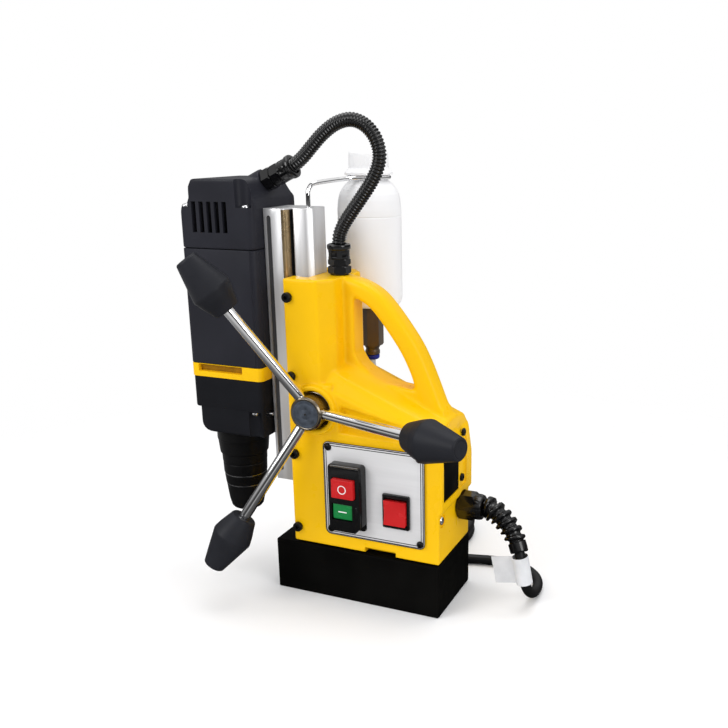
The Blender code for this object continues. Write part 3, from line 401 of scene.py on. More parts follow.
look("magnet_black", (0.0034, 0.0033, 0.0030), 0.50, shade=0.4, patch=18.0, rough_swing=0.10, bump=0.10,
    grain=420.0, specular=0.02)
look("housing_yellow", (0.89, 0.51, 0.002), 0.32, shade=0.05, patch=14.0, rough_swing=0.07, bump=0.10,
    grain=380.0, bump_depth=0.0003, specular=0.15)
look("unit_black", (0.0190, 0.0195, 0.0260), 0.42, shade=0.12, patch=20.0, rough_swing=0.06, bump=0.20,
    grain=1300.0, bump_depth=0.0003, specular=0.14)
look("gearbox_black", (0.0085, 0.0090, 0.0115), 0.42, shade=0.2, patch=20.0, rough_swing=0.08, bump=0.2,
    grain=900.0, specular=0.10)
look("arbor_black", (0.0040, 0.0040, 0.0042), 0.34, shade=0.3, patch=30.0, grain_stretch=(0.02, 0.02, 1),
    grain=1500.0, bump=0.12, specular=0.14)
look("slide_aluminium", (0.70, 0.70, 0.71), 0.34, 0.55, shade=0.10, patch=140.0, brush=ALONG_Z,
    grain=900.0, bump=0.04, rough_patch=260.0, rough_swing=0.06)
look("panel_silver", (0.72, 0.72, 0.73), 0.50, 0.20, shade=0.03, patch=260.0, brush=ALONG_X, grain=1400.0,
    bump=0.03, rough_patch=500.0)
look("steel", (0.45, 0.45, 0.46), 0.30, 1.0, shade=0.15, patch=60.0, grain=900.0)
look("chrome", (0.90, 0.90, 0.91), 0.05, 1.0, shade=0.03, patch=20.0, bump=0.02, rough_swing=0.02)
# Painted reflection: the hub's brown tint stands in for the yellow housing mirrored in its steel.
look("hub_steel", (0.20, 0.17, 0.13), 0.26, 1.0, shade=0.35, patch=40.0, grain=900.0, bump=0.08,
    rough_swing=0.10)
look("hub_face", (0.075, 0.090, 0.115), 0.40, 0.6, shade=0.35, patch=160.0, grain=900.0, bump=0.25)
look("knob_black", (0.0150, 0.0158, 0.0200), 0.46, shade=0.15, patch=30.0, bump=0.15, grain=1100.0,
    specular=0.14)
look("fastener_black", (0.006, 0.006, 0.006), 0.35, shade=0.3, patch=200.0)
look("nylon_black", (0.0030, 0.0030, 0.0034), 0.16, shade=0.2, patch=60.0, bump=0.08, grain=1200.0,
    specular=0.5)
look("cord_rubber", (0.0055, 0.0055, 0.0060), 0.45, shade=0.2, patch=40.0, bump=0.15, grain=900.0,
    specular=0.25)
look("stop_red", (0.52, 0.010, 0.012), 0.26, shade=0.08, patch=60.0, bump=0.04, specular=0.35)
look("start_green", (0.006, 0.20, 0.045), 0.28, shade=0.1, patch=60.0, bump=0.04, specular=0.35)
look("bottle_white", (0.93, 0.93, 0.94), 0.38, shade=0.015, patch=12.0, bump=0.05, grain=300.0,
    sockets={"Subsurface Weight": 0.3, "Subsurface Radius": (1, 1, 1), "Subsurface Scale": 0.004})
look("brass", (0.46, 0.34, 0.19), 0.30, 1.0, shade=0.15, patch=80.0)
look("valve_bronze", (0.13, 0.095, 0.065), 0.34, 0.85, shade=0.25, patch=90.0, brush=ALONG_Z)
look("collar_blue", (0.012, 0.022, 0.26), 0.30, shade=0.1, patch=80.0)
look("tube_clear", (0.72, 0.75, 0.78), 0.10, shade=0.03, patch=40.0, bump=0.02, specular=0.5,
    sockets={"Transmission Weight": 0.6, "IOR": 1.40})
look("copper", (0.60, 0.26, 0.10), 0.35, 1.0, shade=0.2, patch=120.0)
look("board_green", (0.02, 0.12, 0.05), 0.45, shade=0.2, patch=90.0)
look("resin", (0.035, 0.035, 0.036), 0.5, shade=0.2, patch=50.0)
# Painted shade: the white tag is greyed all over so that it reads as shaded against the pale floor.
look("tag_white", (0.66, 0.67, 0.69), 0.35, shade=0.06, patch=90.0, bump=0.10, grain=160.0)
PRINT_BLACK = look("print_black", (0.010, 0.010, 0.011), 0.40, shade=0.2, patch=90.0, bump=0.03)
PRINT_WHITE = look("print_white", (0.82, 0.82, 0.82), 0.40, shade=0.03, patch=90.0, bump=0.03)
# Painted shade: a dark grey for strips on the floor of the slide's grooves, where shade falls.
GROOVE_PAINTED_SHADE = look("groove_painted_shade", (0.070, 0.070, 0.074), 0.45, 0.3, shade=0.3, patch=90.0, brush=ALONG_Z)
# Painted shade: near-black for strips in the slide's dovetail neck, the notch that lies in shade.
NECK_PAINTED_SHADE = look("neck_painted_shade", (0.012, 0.012, 0.012), 0.45, shade=0.3, patch=90.0, brush=ALONG_Z)
# Painted shade: a dark amber for the floor of the motor band's window, where the recess lies in shade.
WINDOW_PAINTED_SHADE = look("window_painted_shade", (0.30, 0.15, 0.004), 0.45, shade=0.25, patch=90.0, specular=0.1)
SCREW_ZINC = look("screw_zinc", (0.80, 0.80, 0.82), 0.18, 1.0, shade=0.08, patch=300.0, bump=0.05)


def finish_piece(item, slot, body, *replaced, material=None):
    """Give a new piece its material, its body and the CAD nodes that it stands for."""
    item.data.materials.clear()
    item.data.materials.append(material or LOOKS[slot])
    if body:
        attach(item, body)
    if replaced:
        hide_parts(*replaced)
    return item


def stand_in(item, node, *more, material=None):
    """A finer piece that replaces a CAD node and takes its body and slot."""
    return finish_piece(item, SLOT_OF[node], BODY_OF[node], node, *more, material=material)


def extra(item, slot, like, material=None):
    """A small added piece on the body of the CAD node it sits on."""
    return finish_piece(item, slot, BODY_OF[like], material=material)


# ---------------------------------------------------------------- stage and camera

CAMERA_PLACE = Vector((0.3423, -0.6928, 0.4116))
CAMERA_YAW = math.radians(23.47)
CAMERA_PITCH = math.radians(15.95)
CAMERA_ROLL = math.radians(0.61)
FOCAL_SHARE = 881.5 / 728
SHIFT_X = -(411.7 - 364) / 728
SHIFT_Y = (392.7 - 364) / 728


def make_camera():
    forward = Vector((-math.sin(CAMERA_YAW) * math.cos(CAMERA_PITCH),
        math.cos(CAMERA_YAW) * math.cos(CAMERA_PITCH), -math.sin(CAMERA_PITCH)))
    right = Vector((math.cos(CAMERA_YAW), math.sin(CAMERA_YAW), 0))
    down = forward.cross(right)
    across = right * math.cos(CAMERA_ROLL) + down * math.sin(CAMERA_ROLL)
    below = -right * math.sin(CAMERA_ROLL) + down * math.cos(CAMERA_ROLL)
    data = bpy.data.cameras.new("camera")
    data.sensor_width = 36.0
    data.lens = 36.0 * FOCAL_SHARE
    data.shift_x, data.shift_y = SHIFT_X, SHIFT_Y
    data.clip_end = 50.0
    camera = link("camera", data)
    turn = Matrix((across, -below, -forward)).transposed().to_4x4()
    camera.matrix_world = Matrix.Translation(CAMERA_PLACE) @ turn
    bpy.context.scene.camera = camera


FLOOR_RADIUS = 12.0
FLOOR_FADE = (0.22, 0.75)
FLOOR_IN_REFLECTIONS = (0.06, 0.06, 0.06, 1)
SURROUND_FOR_LIGHT = (0.66, 0.66, 0.67, 1)
SURROUND_IN_REFLECTIONS = ((0.0, 0.75), (0.38, 0.55), (0.48, 0.04), (0.58, 0.06), (0.70, 0.7), (0.95, 0.9))
LIGHTS_AIM = Vector((0.0, 0.0, 0.2))
LIGHTS = (("key_left", (-0.9, -1.3, 1.1), 0.9, 14.0), ("fill_right", (1.5, -0.7, 0.8), 0.8, 9.0),
    ("top", (0.1, 0.3, 1.8), 1.2, 12.0))


def mix_colours(tree, factor, first, second):
    inputs = {0: factor, 6: first, 7: second}
    return new_node(tree, "Mix", inputs, data_type="RGBA").outputs[2]


def make_floor():
    """A pale floor that fades out, and is dark in reflections as in a studio with black flags."""
    shape = bmesh.new()
    bmesh.ops.create_circle(shape, cap_ends=True, segments=64, radius=FLOOR_RADIUS)
    floor = solid("floor", shape)
    floor.location.z = CAD_LOW.z - 0.0002
    pale = look("floor_pale", (0.97, 0.97, 0.97), 0.6, shade=0.01, patch=0.8, bump=0.0, specular=0.05)
    tree = pale.node_tree
    shader = tree.nodes["Principled BSDF"]
    base = shader.inputs["Base Color"]
    glossy = new_node(tree, "LightPath").outputs["Is Glossy Ray"]
    tree.links.new(mix_colours(tree, glossy, base.links[0].from_socket, FLOOR_IN_REFLECTIONS), base)
    reach = new_node(tree, "VectorMath", {0: new_node(tree, "TexCoord").outputs["Object"]},
        operation="LENGTH")
    fade = new_node(tree, "MapRange", {"Value": reach.outputs["Value"], "From Min": FLOOR_FADE[0],
        "From Max": FLOOR_FADE[1]}, interpolation_type="SMOOTHSTEP")
    mixer = new_node(tree, "MixShader", {"Fac": fade.outputs["Result"], 1: shader.outputs["BSDF"],
        2: new_node(tree, "BsdfTransparent").outputs["BSDF"]})
    tree.links.new(mixer.outputs["Shader"], tree.nodes["Material Output"].inputs["Surface"])
    floor.data.materials.append(pale)


def make_surround():
    """White to the camera, an even grey as light, and banded by height in reflections."""
    world = bpy.data.worlds.new("studio")
    bpy.context.scene.world = world
    world.use_nodes = True
    tree = world.node_tree
    split = new_node(tree, "SeparateXYZ", {"Vector": new_node(tree, "TexCoord").outputs["Generated"]})
    half = new_node(tree, "MapRange", {"Value": split.outputs["Z"], "From Min": -1.0})
    ramp = new_node(tree, "ValToRGB", {"Fac": half.outputs["Result"]})
    bands = ramp.color_ramp.elements
    bands[1].position = SURROUND_IN_REFLECTIONS[-1][0]
    for position, _ in SURROUND_IN_REFLECTIONS[1:-1]:
        bands.new(position)
    for band, (_, level) in zip(bands, SURROUND_IN_REFLECTIONS):
        band.color = (level, level, level, 1)
    path = new_node(tree, "LightPath")
    lit = mix_colours(tree, path.outputs["Is Glossy Ray"], SURROUND_FOR_LIGHT, ramp.outputs["Color"])
    seen = mix_colours(tree, path.outputs["Is Camera Ray"], lit, (1, 1, 1, 1))
    background = tree.nodes["Background"]
    background.inputs["Strength"].default_value = 1.0
    tree.links.new(seen, background.inputs["Color"])


def make_lights():
    for name, place, size, power in LIGHTS:
        data = bpy.data.lights.new(name, "AREA")
        data.shape = "RECTANGLE"
        data.size = data.size_y = size
        data.energy = power
        item = link(name, data)
        item.location = place
        item.rotation_mode = "QUATERNION"
        item.rotation_quaternion = (LIGHTS_AIM - Vector(place)).to_track_quat("-Z", "Y")
    bpy.context.scene.view_settings.view_transform = "Standard"


# ---------------------------------------------------------------- cords

CORD_RADIUS = 0.0047
STRAIN_RELIEF_ROUTE = mm((106.8, 14, 90), (112, 13.95, 89.6), (120, 13, 86), (127, 11.8, 80.3),
    (133, 10, 74.5), (138, 7.8, 67.5), (141.5, 5.6, 60.5), (143, 4.3, 56.5))
CORD_ROUTE = mm((143.4, 3.9, 55.5), (145.4, 2, 49), (147, 1.4, 41), (148.5, 3.6, 29.5), (149.8, 10, 18.2),
    (150.8, 20, 9.9), (151, 32, 5.6), (150, 46, 4.9), (145, 59, 4.8), (136, 69.5, 4.8), (124, 76.5, 4.8),
    (110, 79.3, 4.8), (94, 78.5, 4.8), (78, 75, 4.8), (60, 70.2, 4.8), (42, 65.6, 4.8), (28, 62.8, 4.8))
CORD_END_ROUTE = mm((-48.5, 61.2, 14.2), (-60, 63.6, 11.2), (-72.5, 69.4, 7.6), (-83.5, 78, 6.2),
    (-91.5, 88.5, 8.2), (-96.2, 99, 13.2), (-98, 109.5, 17.6), (-98, 115.4, 18.2))
COIL_CENTRE = Vector((-0.010, 0.122, 0))
COIL_MIDDLE = 0.0517
COIL_TURNS = 5
COIL_POINTS = 24


def ease(value, start, end):
    t = min(1.0, max(0.0, (value - start) / (end - start)))
    return t * t * (3 - 2 * t)


def coil_point(turns):
    """The cord's centre after so many turns: inwards on the floor, a step up, then outwards."""
    pitch = 2 * CORD_RADIUS + 0.0001
    inwards = ease(turns, 0.75, 1.0) + ease(turns, 1.75, 2.0)
    outwards = ease(turns, 3.25, 3.5) + ease(turns, 4.25, 4.5)
    radius = COIL_MIDDLE + pitch * (1 - inwards + outwards)
    height = CORD_RADIUS + 0.0001 + pitch * ease(turns, 2.5, 2.95)
    angle = -math.pi / 2 - 2 * math.pi * turns
    return COIL_CENTRE + Vector((radius * math.cos(angle), radius * math.sin(angle), height))


def round_cord(name, points, radius):
    """A curve object of round section through the points."""
    curve = bpy.data.curves.new(name, "CURVE")
    curve.dimensions = "3D"
    curve.bevel_depth = radius
    curve.bevel_resolution = 5
    curve.use_fill_caps = True
    strand = curve.splines.new("POLY")
    strand.points.add(len(points) - 1)
    for target, point in zip(strand.points, points):
        target.co = (*point, 1)
    return link(name, curve)


def make_power_cord():
    coil = [coil_point(step / COIL_POINTS) for step in range(COIL_TURNS * COIL_POINTS + 1)]
    route = STRAIN_RELIEF_ROUTE[:-1] + CORD_ROUTE + mm((10, 61.2, 4.8)) + coil + CORD_END_ROUTE
    points = smooth_path(route, 0.004)
    cord = round_cord("mains_cord", points, CORD_RADIUS)
    cord.data.splines[0].use_smooth = True
    finish_piece(cord, "cord_rubber", "root", "power_cord", "cord_coil", "power_cord_end")
    return cord, points


make_camera()
make_floor()
make_surround()
make_lights()
mains_cord, mains_points = make_power_cord()


# ---------------------------------------------------------------- housing

HALF = 0.0385
FEED = Vector((-0.036, 0, 0.1826))
GLAND_REAR = Vector((0.0825, 0.014, 0.090))
HANDLE_SIDES = 24
HANDLE_SQUARENESS = 0.62
HANDLE_HALF = 0.0115
HANDLE_OUTER = mm((79, 179), (73.5, 191), (68, 204.8), (59.7, 224.6), (50.7, 241.8), (39, 258.5),
    (27.5, 273), (16.5, 284.5), (4, 292), (-9, 296.2), (-24, 297.9), (-48, 297.9))
HANDLE_INNER = mm((45, 190), (47, 200), (46, 207), (42.5, 217), (34.5, 233), (23.5, 249), (13.5, 262),
    (5, 271), (-4, 276.5), (-12, 279.5), (-24, 281), (-48, 281))
WEB = [(-50, 150), (80, 150), (82, 168), (76, 185), (62, 195), (53, 203.5), (48, 200.8), (32, 203),
    (18, 205.5), (6, 212), (-4, 220.5), (-9.5, 230), (-9.5, 290), (-50, 290)]
GIB_SCREWS = [(-0.0583, 0.282), (-0.0583, 0.211), (-0.0583, 0.138), (-0.0583, 0.066)]


def hull(name, points):
    """The convex solid round some points."""
    shape = bmesh.new()
    for point in points:
        shape.verts.new(point)
    result = bmesh.ops.convex_hull(shape, input=shape.verts)
    spare = set(result["geom_interior"] + result["geom_unused"])
    spare = [item for item in spare if isinstance(item, bmesh.types.BMVert)]
    bmesh.ops.delete(shape, geom=spare, context="VERTS")
    bmesh.ops.recalc_face_normals(shape, faces=shape.faces)
    return solid(name, shape)


def make_handle():
    rings = []
    for outer, inner in zip(spline(HANDLE_OUTER, 4), spline(HANDLE_INNER, 4)):
        middle, reach = (outer + inner) / 2, (outer - inner) * 0.515
        ring = []
        for side in range(HANDLE_SIDES):
            angle = 2 * math.pi * (side + 0.5) / HANDLE_SIDES
            along, across = math.cos(angle), math.sin(angle)
            along = math.copysign(abs(along) ** HANDLE_SQUARENESS, along)
            across = math.copysign(abs(across) ** HANDLE_SQUARENESS, across)
            ring.append((middle.x + reach.x * along, HANDLE_HALF * across, middle.y + reach.y * along))
        rings.append(ring)
    return skin("handle_bar", rings)


def make_housing():
    outline = flat((-63, 51.3), (82.5, 51.3), (82.5, 98), (85.5, 101.5), (85.5, 150), (84.5, 158),
        (82.5, 163), (-19, 200), (-19, 298), (-63, 298))
    housing = prism("housing_casting", outline, -HALF, HALF)
    for side in (-1, 1):
        cheek = flat((-30, side * 41), (-30, side * 38.45), (-18.9, side * 25), (-16, side * 25),
            (-16, side * 41))
        cut(housing, prism("cheek", cheek, 0.2060, 0.305, upright=True))
    section = []
    for x, lip, top in ((-0.025, 0.2015, 0.2255), (0.0815, 0.1626, 0.1775)):
        section += [(x, HALF - 0.0012, lip), (x, HALF - 0.0012, 0.150), (x, 0.009, top),
            (x, 0.029, lip + (top - lip) * 0.66)]
    shoulder = hull("shoulder", [(x, side * y, z) for side in (-1, 1) for x, y, z in section])
    web = prism("web", flat(*WEB), -0.0108, 0.0108)
    boss = rod("boss", FEED + Vector((0, -HALF + 0.004, 0)), FEED + Vector((0, -0.0438, 0)), 0.0228)
    join(housing, shoulder)
    join(housing, web)
    join(housing, make_handle())
    join(housing, boss)
    cut(housing, rod("scoop", *mm((-12.5, -43.2, 175.6), (62, -44.2, 167.6)), 0.0134, end_radius=0.0090))
    for side in (-1, 1):
        cut(housing, hull("corner", [(x, side * y, z) for x, y, z in mm((87, 39, 126), (87, 30.5, 152),
            (80, 39, 152), (87, 30, 190), (79, 39, 190), (87, 39, 190))]))
    cut(housing, rod("hub_room", FEED + Vector((0, -0.050, 0)), FEED + Vector((0, -0.0350, 0)), 0.0178))
    cast(housing, 0.0010, 5)

    def heavy(points):
        rise = np.clip((points[:, 2] - 0.163) / 0.014, 0, 1)
        hub = np.hypot(points[:, 0] - FEED.x, points[:, 2] - FEED.z)
        keep = np.clip((hub - 0.0245) / 0.006, 0, 1)
        front = np.clip((points[:, 0] + 0.058) / 0.010, 0.08, 1)
        return SOFTENING * rise * keep * front

    relax(housing.data, 9, heavy)

    slot = flat((-65.5, -18.1), (-50.3, -24.6), (-45, -24.6), (-45, 22.5), (-49.6, 22.5), (-65.5, 15.4))
    cut(housing, prism("slot", slot, 0.045, 0.305, upright=True))
    cut(housing, rod("pinion_room", FEED + Vector((0, -0.013, 0)), FEED + Vector((0, 0.013, 0)), 0.0135))
    cut(housing, rod("bush_bore", FEED + Vector((0, -0.045, 0)), FEED + Vector((0, -0.012, 0)), 0.0093))
    cut(housing, rod("shaft_bore", FEED + Vector((0, 0.012, 0)), FEED + Vector((0, 0.0262, 0)), 0.0071))
    cut(housing, block("control_pocket", *mm((-26, -45, 69), (65, -8, 150))))
    cut(housing, block("wiring_pocket", *mm((-4, -10, 62), (74, 30, 147))))
    cut(housing, rod("cord_hole", GLAND_REAR - Vector((0.012, 0, 0)), GLAND_REAR + Vector((0.008, 0, 0)),
        0.0083))
    cut(housing, rod("gland_seat", GLAND_REAR - Vector((0.0003, 0, 0)), GLAND_REAR + Vector((0.010, 0, 0)),
        0.0141))
    cut(housing, rod("conduit_hole", *mm((-27, 0, 262), (-27, 0, 305)), 0.0083))
    cut(housing, block("label_recess", *mm((83.5, -34, 109), (95, 23, 155.5)), 0.0015))
    cut(housing, block("bottom_notch", *mm((10, -45, 48), (41, -30, 56.8)), 0.0012))
    cut(housing, rod("earth_recess", *mm((81.3, -30, 91), (90, -30, 91)), 0.0062))
    for x, z in GIB_SCREWS:
        cut(housing, rod("gib_hole", (x, -0.045, z), (x, -0.0200, z), 0.0024, 24))
    smooth(housing, 32)
    return stand_in(housing, "housing")


# ---------------------------------------------------------------- fasteners

def cap_screw(name, place, axis, radius, height, shank=0.0):
    """A socket head screw."""
    axis = Vector(axis).normalized()
    foot = -shank if shank else 0.0
    profile = [(0, height), (radius * 0.84, height), (radius, height * 0.78), (radius, 0)]
    profile += [(radius * 0.5, 0), (radius * 0.5, foot), (0, foot)] if shank else [(0, 0)]
    screw = lathe(name, profile, place, axis, 32, 0.0003)
    place = Vector(place)
    socket = rod("socket", place + axis * height * 0.35, place + axis * height * 1.6, radius * 0.5, 6)
    return smooth(cut(screw, socket))


def cross_screw(name, place, axis, radius, height):
    """A domed head with a cross recess."""
    axis = Vector(axis).normalized()
    place = Vector(place)
    dome = [(0, height), (radius * 0.45, height * 0.93), (radius * 0.8, height * 0.66),
        (radius * 0.97, height * 0.3), (radius, 0), (0, 0)]
    screw = lathe(name, dome, place, axis, 32, 0.0002)
    turn = turn_to(axis).to_matrix().to_4x4()
    for angle in (0.4, 0.4 + math.pi / 2):
        slit = block("slit", (-radius * 0.6, -radius * 0.11, height * 0.45),
            (radius * 0.6, radius * 0.11, height * 1.4))
        slit.matrix_world = Matrix.Translation(place) @ turn @ Matrix.Rotation(angle, 4, "Z")
        bake(slit)
        cut(screw, slit)
    return smooth(screw)


def nut(name, foot, axis, radius, height, chamfer=0.10):
    """A hexagon whose corners are chamfered at both ends."""
    foot, axis = Vector(foot), Vector(axis).normalized()
    item = rod(name, foot, foot + axis * height, radius, 6)
    c = radius * chamfer
    bound = lathe("bound", [(0, height + 0.0002), (radius * 0.9, height + 0.0002), (radius, height - c),
        (radius, c), (radius * 0.9, -0.0002), (0, -0.0002)], foot, axis, 72, 0)
    return smooth(combine(item, "INTERSECT", [bound]), 25)


def make_gib_screws():
    for number, (x, z) in enumerate(GIB_SCREWS, 1):
        stand_in(cap_screw(f"gib_screw_head_{number}", (x, -HALF - 0.0003, z), (0, -1, 0), 0.0045, 0.0040,
            0.0165), f"gib_screw_{number}")


# ---------------------------------------------------------------- controls

PANEL_BACK = -HALF - 0.0003
PANEL_FACE = PANEL_BACK - 0.0018
SWITCH_FOOT = PANEL_FACE - 0.0003
BUTTON_BACK = -0.0360


def frame_line(name, low, high, radius, width, face, depth, material, slot, like):
    """A printed outline, as a thin raised band round a rounded rectangle."""
    inner_low = (low[0] + width, low[1] + width)
    inner_high = (high[0] - width, high[1] - width)
    outer = rounded(low, high, radius, 8)
    inner = rounded(inner_low, inner_high, max(radius - width, 0.0005), 8)
    rings = [[(x, y, z) for x, z in outline] for outline, y in ((outer, face - depth),
        (outer, face + 0.0001), (inner, face + 0.0001), (inner, face - depth))]
    item = skin(name, rings, loop=True)
    return extra(item, slot, like, material)


def plate_block(name, low, high, near, far, corner, edge=0.0008):
    """A rounded rectangle in X and Z with a soft near edge, from near to far in Y."""
    def ring(inset, y):
        return [(x, y, z) for x, z in rounded((low[0] + inset, low[1] + inset),
            (high[0] - inset, high[1] - inset), max(corner - inset, 0.0002))]
    rings = [ring(edge, near), ring(edge * 0.3, near + edge * 0.3), ring(0, near + edge), ring(0, far)]
    return smooth(skin(name, rings), 30)


def make_panel():
    """The silver plate with its printed lines and screws."""
    low, high = (-0.028, 0.0655), (0.0695, 0.1540)
    plate = plate_block("panel_plate", low, high, PANEL_FACE, PANEL_BACK, 0.005, 0.0003)
    cut(plate, block("switch_window", *mm((-16.5, -45, 76.5), (11, -30, 134.5))))
    cut(plate, block("rocker_window", *mm((31.2, -45, 82.7), (55.8, -30, 113.3))))
    stand_in(smooth(plate, 30), "control_plate")
    for number, (inset, width) in enumerate(((0.0003, 0.0009), (0.0024, 0.0007)), 1):
        frame_line(f"panel_line_{number}", (low[0] + inset, low[1] + inset),
            (high[0] - inset, high[1] - inset), 0.005 - inset, width, PANEL_FACE, 0.00008, PRINT_BLACK,
            "nylon_black", "control_plate")
    frame_line("panel_border", (low[0] - 0.0006, low[1] - 0.0006), (high[0] + 0.0006, high[1] + 0.0006),
        0.0056, 0.0007, PANEL_FACE + 0.0006, 0.0002, PRINT_BLACK, "nylon_black", "control_plate")
    for number, (x, z) in enumerate(((-0.0230, 0.1496), (-0.0225, 0.0708), (0.0658, 0.0698),
            (0.0655, 0.1496)), 1):
        screw = cross_screw(f"panel_screw_{number}", (x, PANEL_FACE, z), (0, -1, 0), 0.0034, 0.0024)
        extra(screw, "fastener_black", "control_plate")


def make_switch():
    """The black case of the two buttons, with a well for each and a latch."""
    low, high = (-0.0195, 0.0735), (0.0140, 0.1375)
    top = SWITCH_FOOT - 0.0105
    body = plate_block("switch_case", low, high, top + 0.0010, SWITCH_FOOT, 0.0035, 0.0016)
    hood = plate_block("switch_hood", (low[0] + 0.0012, low[1] + 0.003),
        (high[0] - 0.0012, high[1] - 0.0012), top, SWITCH_FOOT - 0.004, 0.0030, 0.0012)
    join(body, hood)
    join(body, block("switch_stem", *mm((-16.2, -43, 76.8), (10.7, -20, 134.2))))
    corner = prism("corner_cut", flat((14.5, 71.5), (14.5, 82), (4.5, 71.5)), -0.06, -0.0415)
    cut(body, corner)
    for x1, z1, x2, z2 in ((-0.0145, 0.1070, 0.0085, 0.1260), (-0.0155, 0.0855, 0.0050, 0.1011)):
        cut(body, block("button_well", (x1, -0.070, z1), (x2, -0.0275, z2)))
    stand_in(smooth(body, 30), "switch_housing")
    latch = block("switch_latch", (0.0078, top - 0.0002, 0.0860), (0.0104, top + 0.0030, 0.1000), 0.0008)
    extra(smooth(latch, 30), "nylon_black", "switch_housing")


def make_buttons():
    """The red and the green button, with a plain ring and a plain bar on them."""
    stop_low, stop_high = (-0.0140, 0.1075), (0.0080, 0.1255)
    start_low, start_high = (-0.0150, 0.0860), (0.0045, 0.1006)
    stop_face, start_face = SWITCH_FOOT - 0.0140, SWITCH_FOOT - 0.0095
    stop = plate_block("stop_cap", stop_low, stop_high, stop_face, BUTTON_BACK, 0.0012, 0.0012)
    stand_in(stop, "stop_button")
    start = plate_block("start_cap", start_low, start_high, start_face, BUTTON_BACK, 0.0012, 0.0012)
    stand_in(start, "start_button")
    ring = lathe("stop_ring", flat((3.3, 0.1), (4.1, 0.1), (4.1, -0.1), (3.3, -0.1)),
        ((stop_low[0] + stop_high[0]) / 2, stop_face, (stop_low[1] + stop_high[1]) / 2), (0, -1, 0), 48, 0,
        loop=True)
    extra(ring, "tag_white", "stop_button", PRINT_WHITE)
    x, z = (start_low[0] + start_high[0]) / 2, (start_low[1] + start_high[1]) / 2
    bar = block("start_bar", (x - 0.0042, start_face - 0.0001, z - 0.0005),
        (x + 0.0042, start_face + 0.0001, z + 0.0005), 0.00005)
    extra(bar, "tag_white", "start_button", PRINT_WHITE)


def make_rocker():
    """The rocker's frame and its paddle, which is a profile carried across."""
    low, high = (0.0305, 0.0820), (0.0565, 0.1140)
    bezel = plate_block("rocker_frame", low, high, SWITCH_FOOT - 0.0024, SWITCH_FOOT, 0.0014, 0.0009)
    join(bezel, block("rocker_stem", *mm((31.5, -41.5, 83), (55.5, -22, 113))))
    cut(bezel, block("rocker_well", (low[0] + 0.0023, -0.06, low[1] + 0.0033),
        (high[0] - 0.0023, -0.0310, high[1] - 0.0033)))
    stand_in(smooth(bezel, 30), "rocker_bezel")
    rings = []
    for x, inset in ((0.0331, 0.0004), (0.0334, 0.0), (0.0536, 0.0), (0.0539, 0.0004)):
        profile = [(-0.0115 + inset, -0.0040 + inset), (-0.0085, -0.0034 + inset),
            (-0.0045, -0.0029 + inset), (0.0, -0.0026 + inset), (0.0045, -0.0029 + inset),
            (0.0085, -0.0034 + inset), (0.0115 - inset, -0.0040 + inset), (0.0095, 0.0050), (0.0, 0.0085),
            (-0.0095, 0.0050)]
        rings.append([(x, -0.0430 + depth, 0.0980 + height) for height, depth in profile])
    stand_in(smooth(skin("rocker_paddle", rings), 30), "rocker_switch")


# ---------------------------------------------------------------- rear

BOOT_COLLAR = 0.0082
BOOT_SIDES = 36


def helical_boot(name, points, core, fin, pitch, collar):
    """A tapered strain relief with a fin that winds round it and a collar at its end."""
    total = length_of(points)
    tangents = tangents_of(points)
    side = Vector((0, 0, 1))
    rings, travelled = [], 0.0
    for index, (point, tangent) in enumerate(zip(points, tangents)):
        if index:
            travelled += (point - points[index - 1]).length
        side = (side - tangent * side.dot(tangent)).normalized()
        other = tangent.cross(side)
        share = travelled / total
        ring = []
        for k, angle in enumerate(turns(BOOT_SIDES)):
            phase = (travelled / pitch + k / BOOT_SIDES) % 1.0
            ridge = min(1.0, max(0.0, (0.5 - abs(phase - 0.5)) * 8.0 - 1.6))
            ridge *= min(1.0, travelled / 0.003) * min(1.0, max(0.0, (total - collar - travelled) / 0.002))
            radius = core[0] + (core[1] - core[0]) * share
            radius += ridge * (fin[0] + (fin[1] - fin[0]) * share)
            if total - travelled < collar:
                radius = max(radius, BOOT_COLLAR - 0.0006 * max(0.0, 1 - (total - travelled) / 0.001))
            ring.append(point + (side * math.cos(angle) + other * math.sin(angle)) * radius)
        rings.append(ring)
    item = skin(name, rings)
    return smooth(item, 50)


def make_rear():
    plate = block("name_plate_blank", *mm((83.8, -33.5, 109.5), (85, 4, 155)), 0.0004)
    stand_in(smooth(plate, 30), "rear_plate")
    for number, (y, z) in enumerate(((0.014, 0.1165), (0.014, 0.1600)), 1):
        screw = cap_screw(f"rear_screw_{number}", (0.0836 if number == 1 else 0.0850, y, z), (1, 0, 0),
            0.0036, 0.0022)
        extra(screw, "fastener_black", "housing")
    earth = cross_screw("earth_screw", (0.0813, -0.030, 0.091), (1, 0, 0), 0.0040, 0.0022)
    extra(earth, "steel", "housing", SCREW_ZINC)

    start = Vector((0.0828, GLAND_REAR.y, GLAND_REAR.z))
    gland = nut("cord_gland_nut", start, (1, 0, 0), 0.0135, 0.0157, 0.12)
    dome = lathe("dome", flat((0, 23.2), (10, 23.2), (11.2, 22.2), (11.9, 19.5), (11.9, 15), (8, 14.8),
        (8, -8), (0, -8)), start, (1, 0, 0), 48)
    join(gland, dome)
    for k in range(16):
        angle = 2 * math.pi * k / 16
        offset = Vector((0, math.cos(angle), math.sin(angle))) * 0.0123
        cut(gland, rod("flute", start + offset + Vector((0.0166, 0, 0)),
            start + offset + Vector((0.0240, 0, 0)), 0.0008, 8))
    stand_in(smooth(gland, 30), "cord_gland")

    points = smooth_path(STRAIN_RELIEF_ROUTE, 0.0007)
    boot = helical_boot("cord_boot", points, (0.0076, 0.0062), (0.0036, 0.0027), 0.0074, 0.0095)
    return stand_in(boot, "strain_relief")


# ---------------------------------------------------------------- glands and conduit

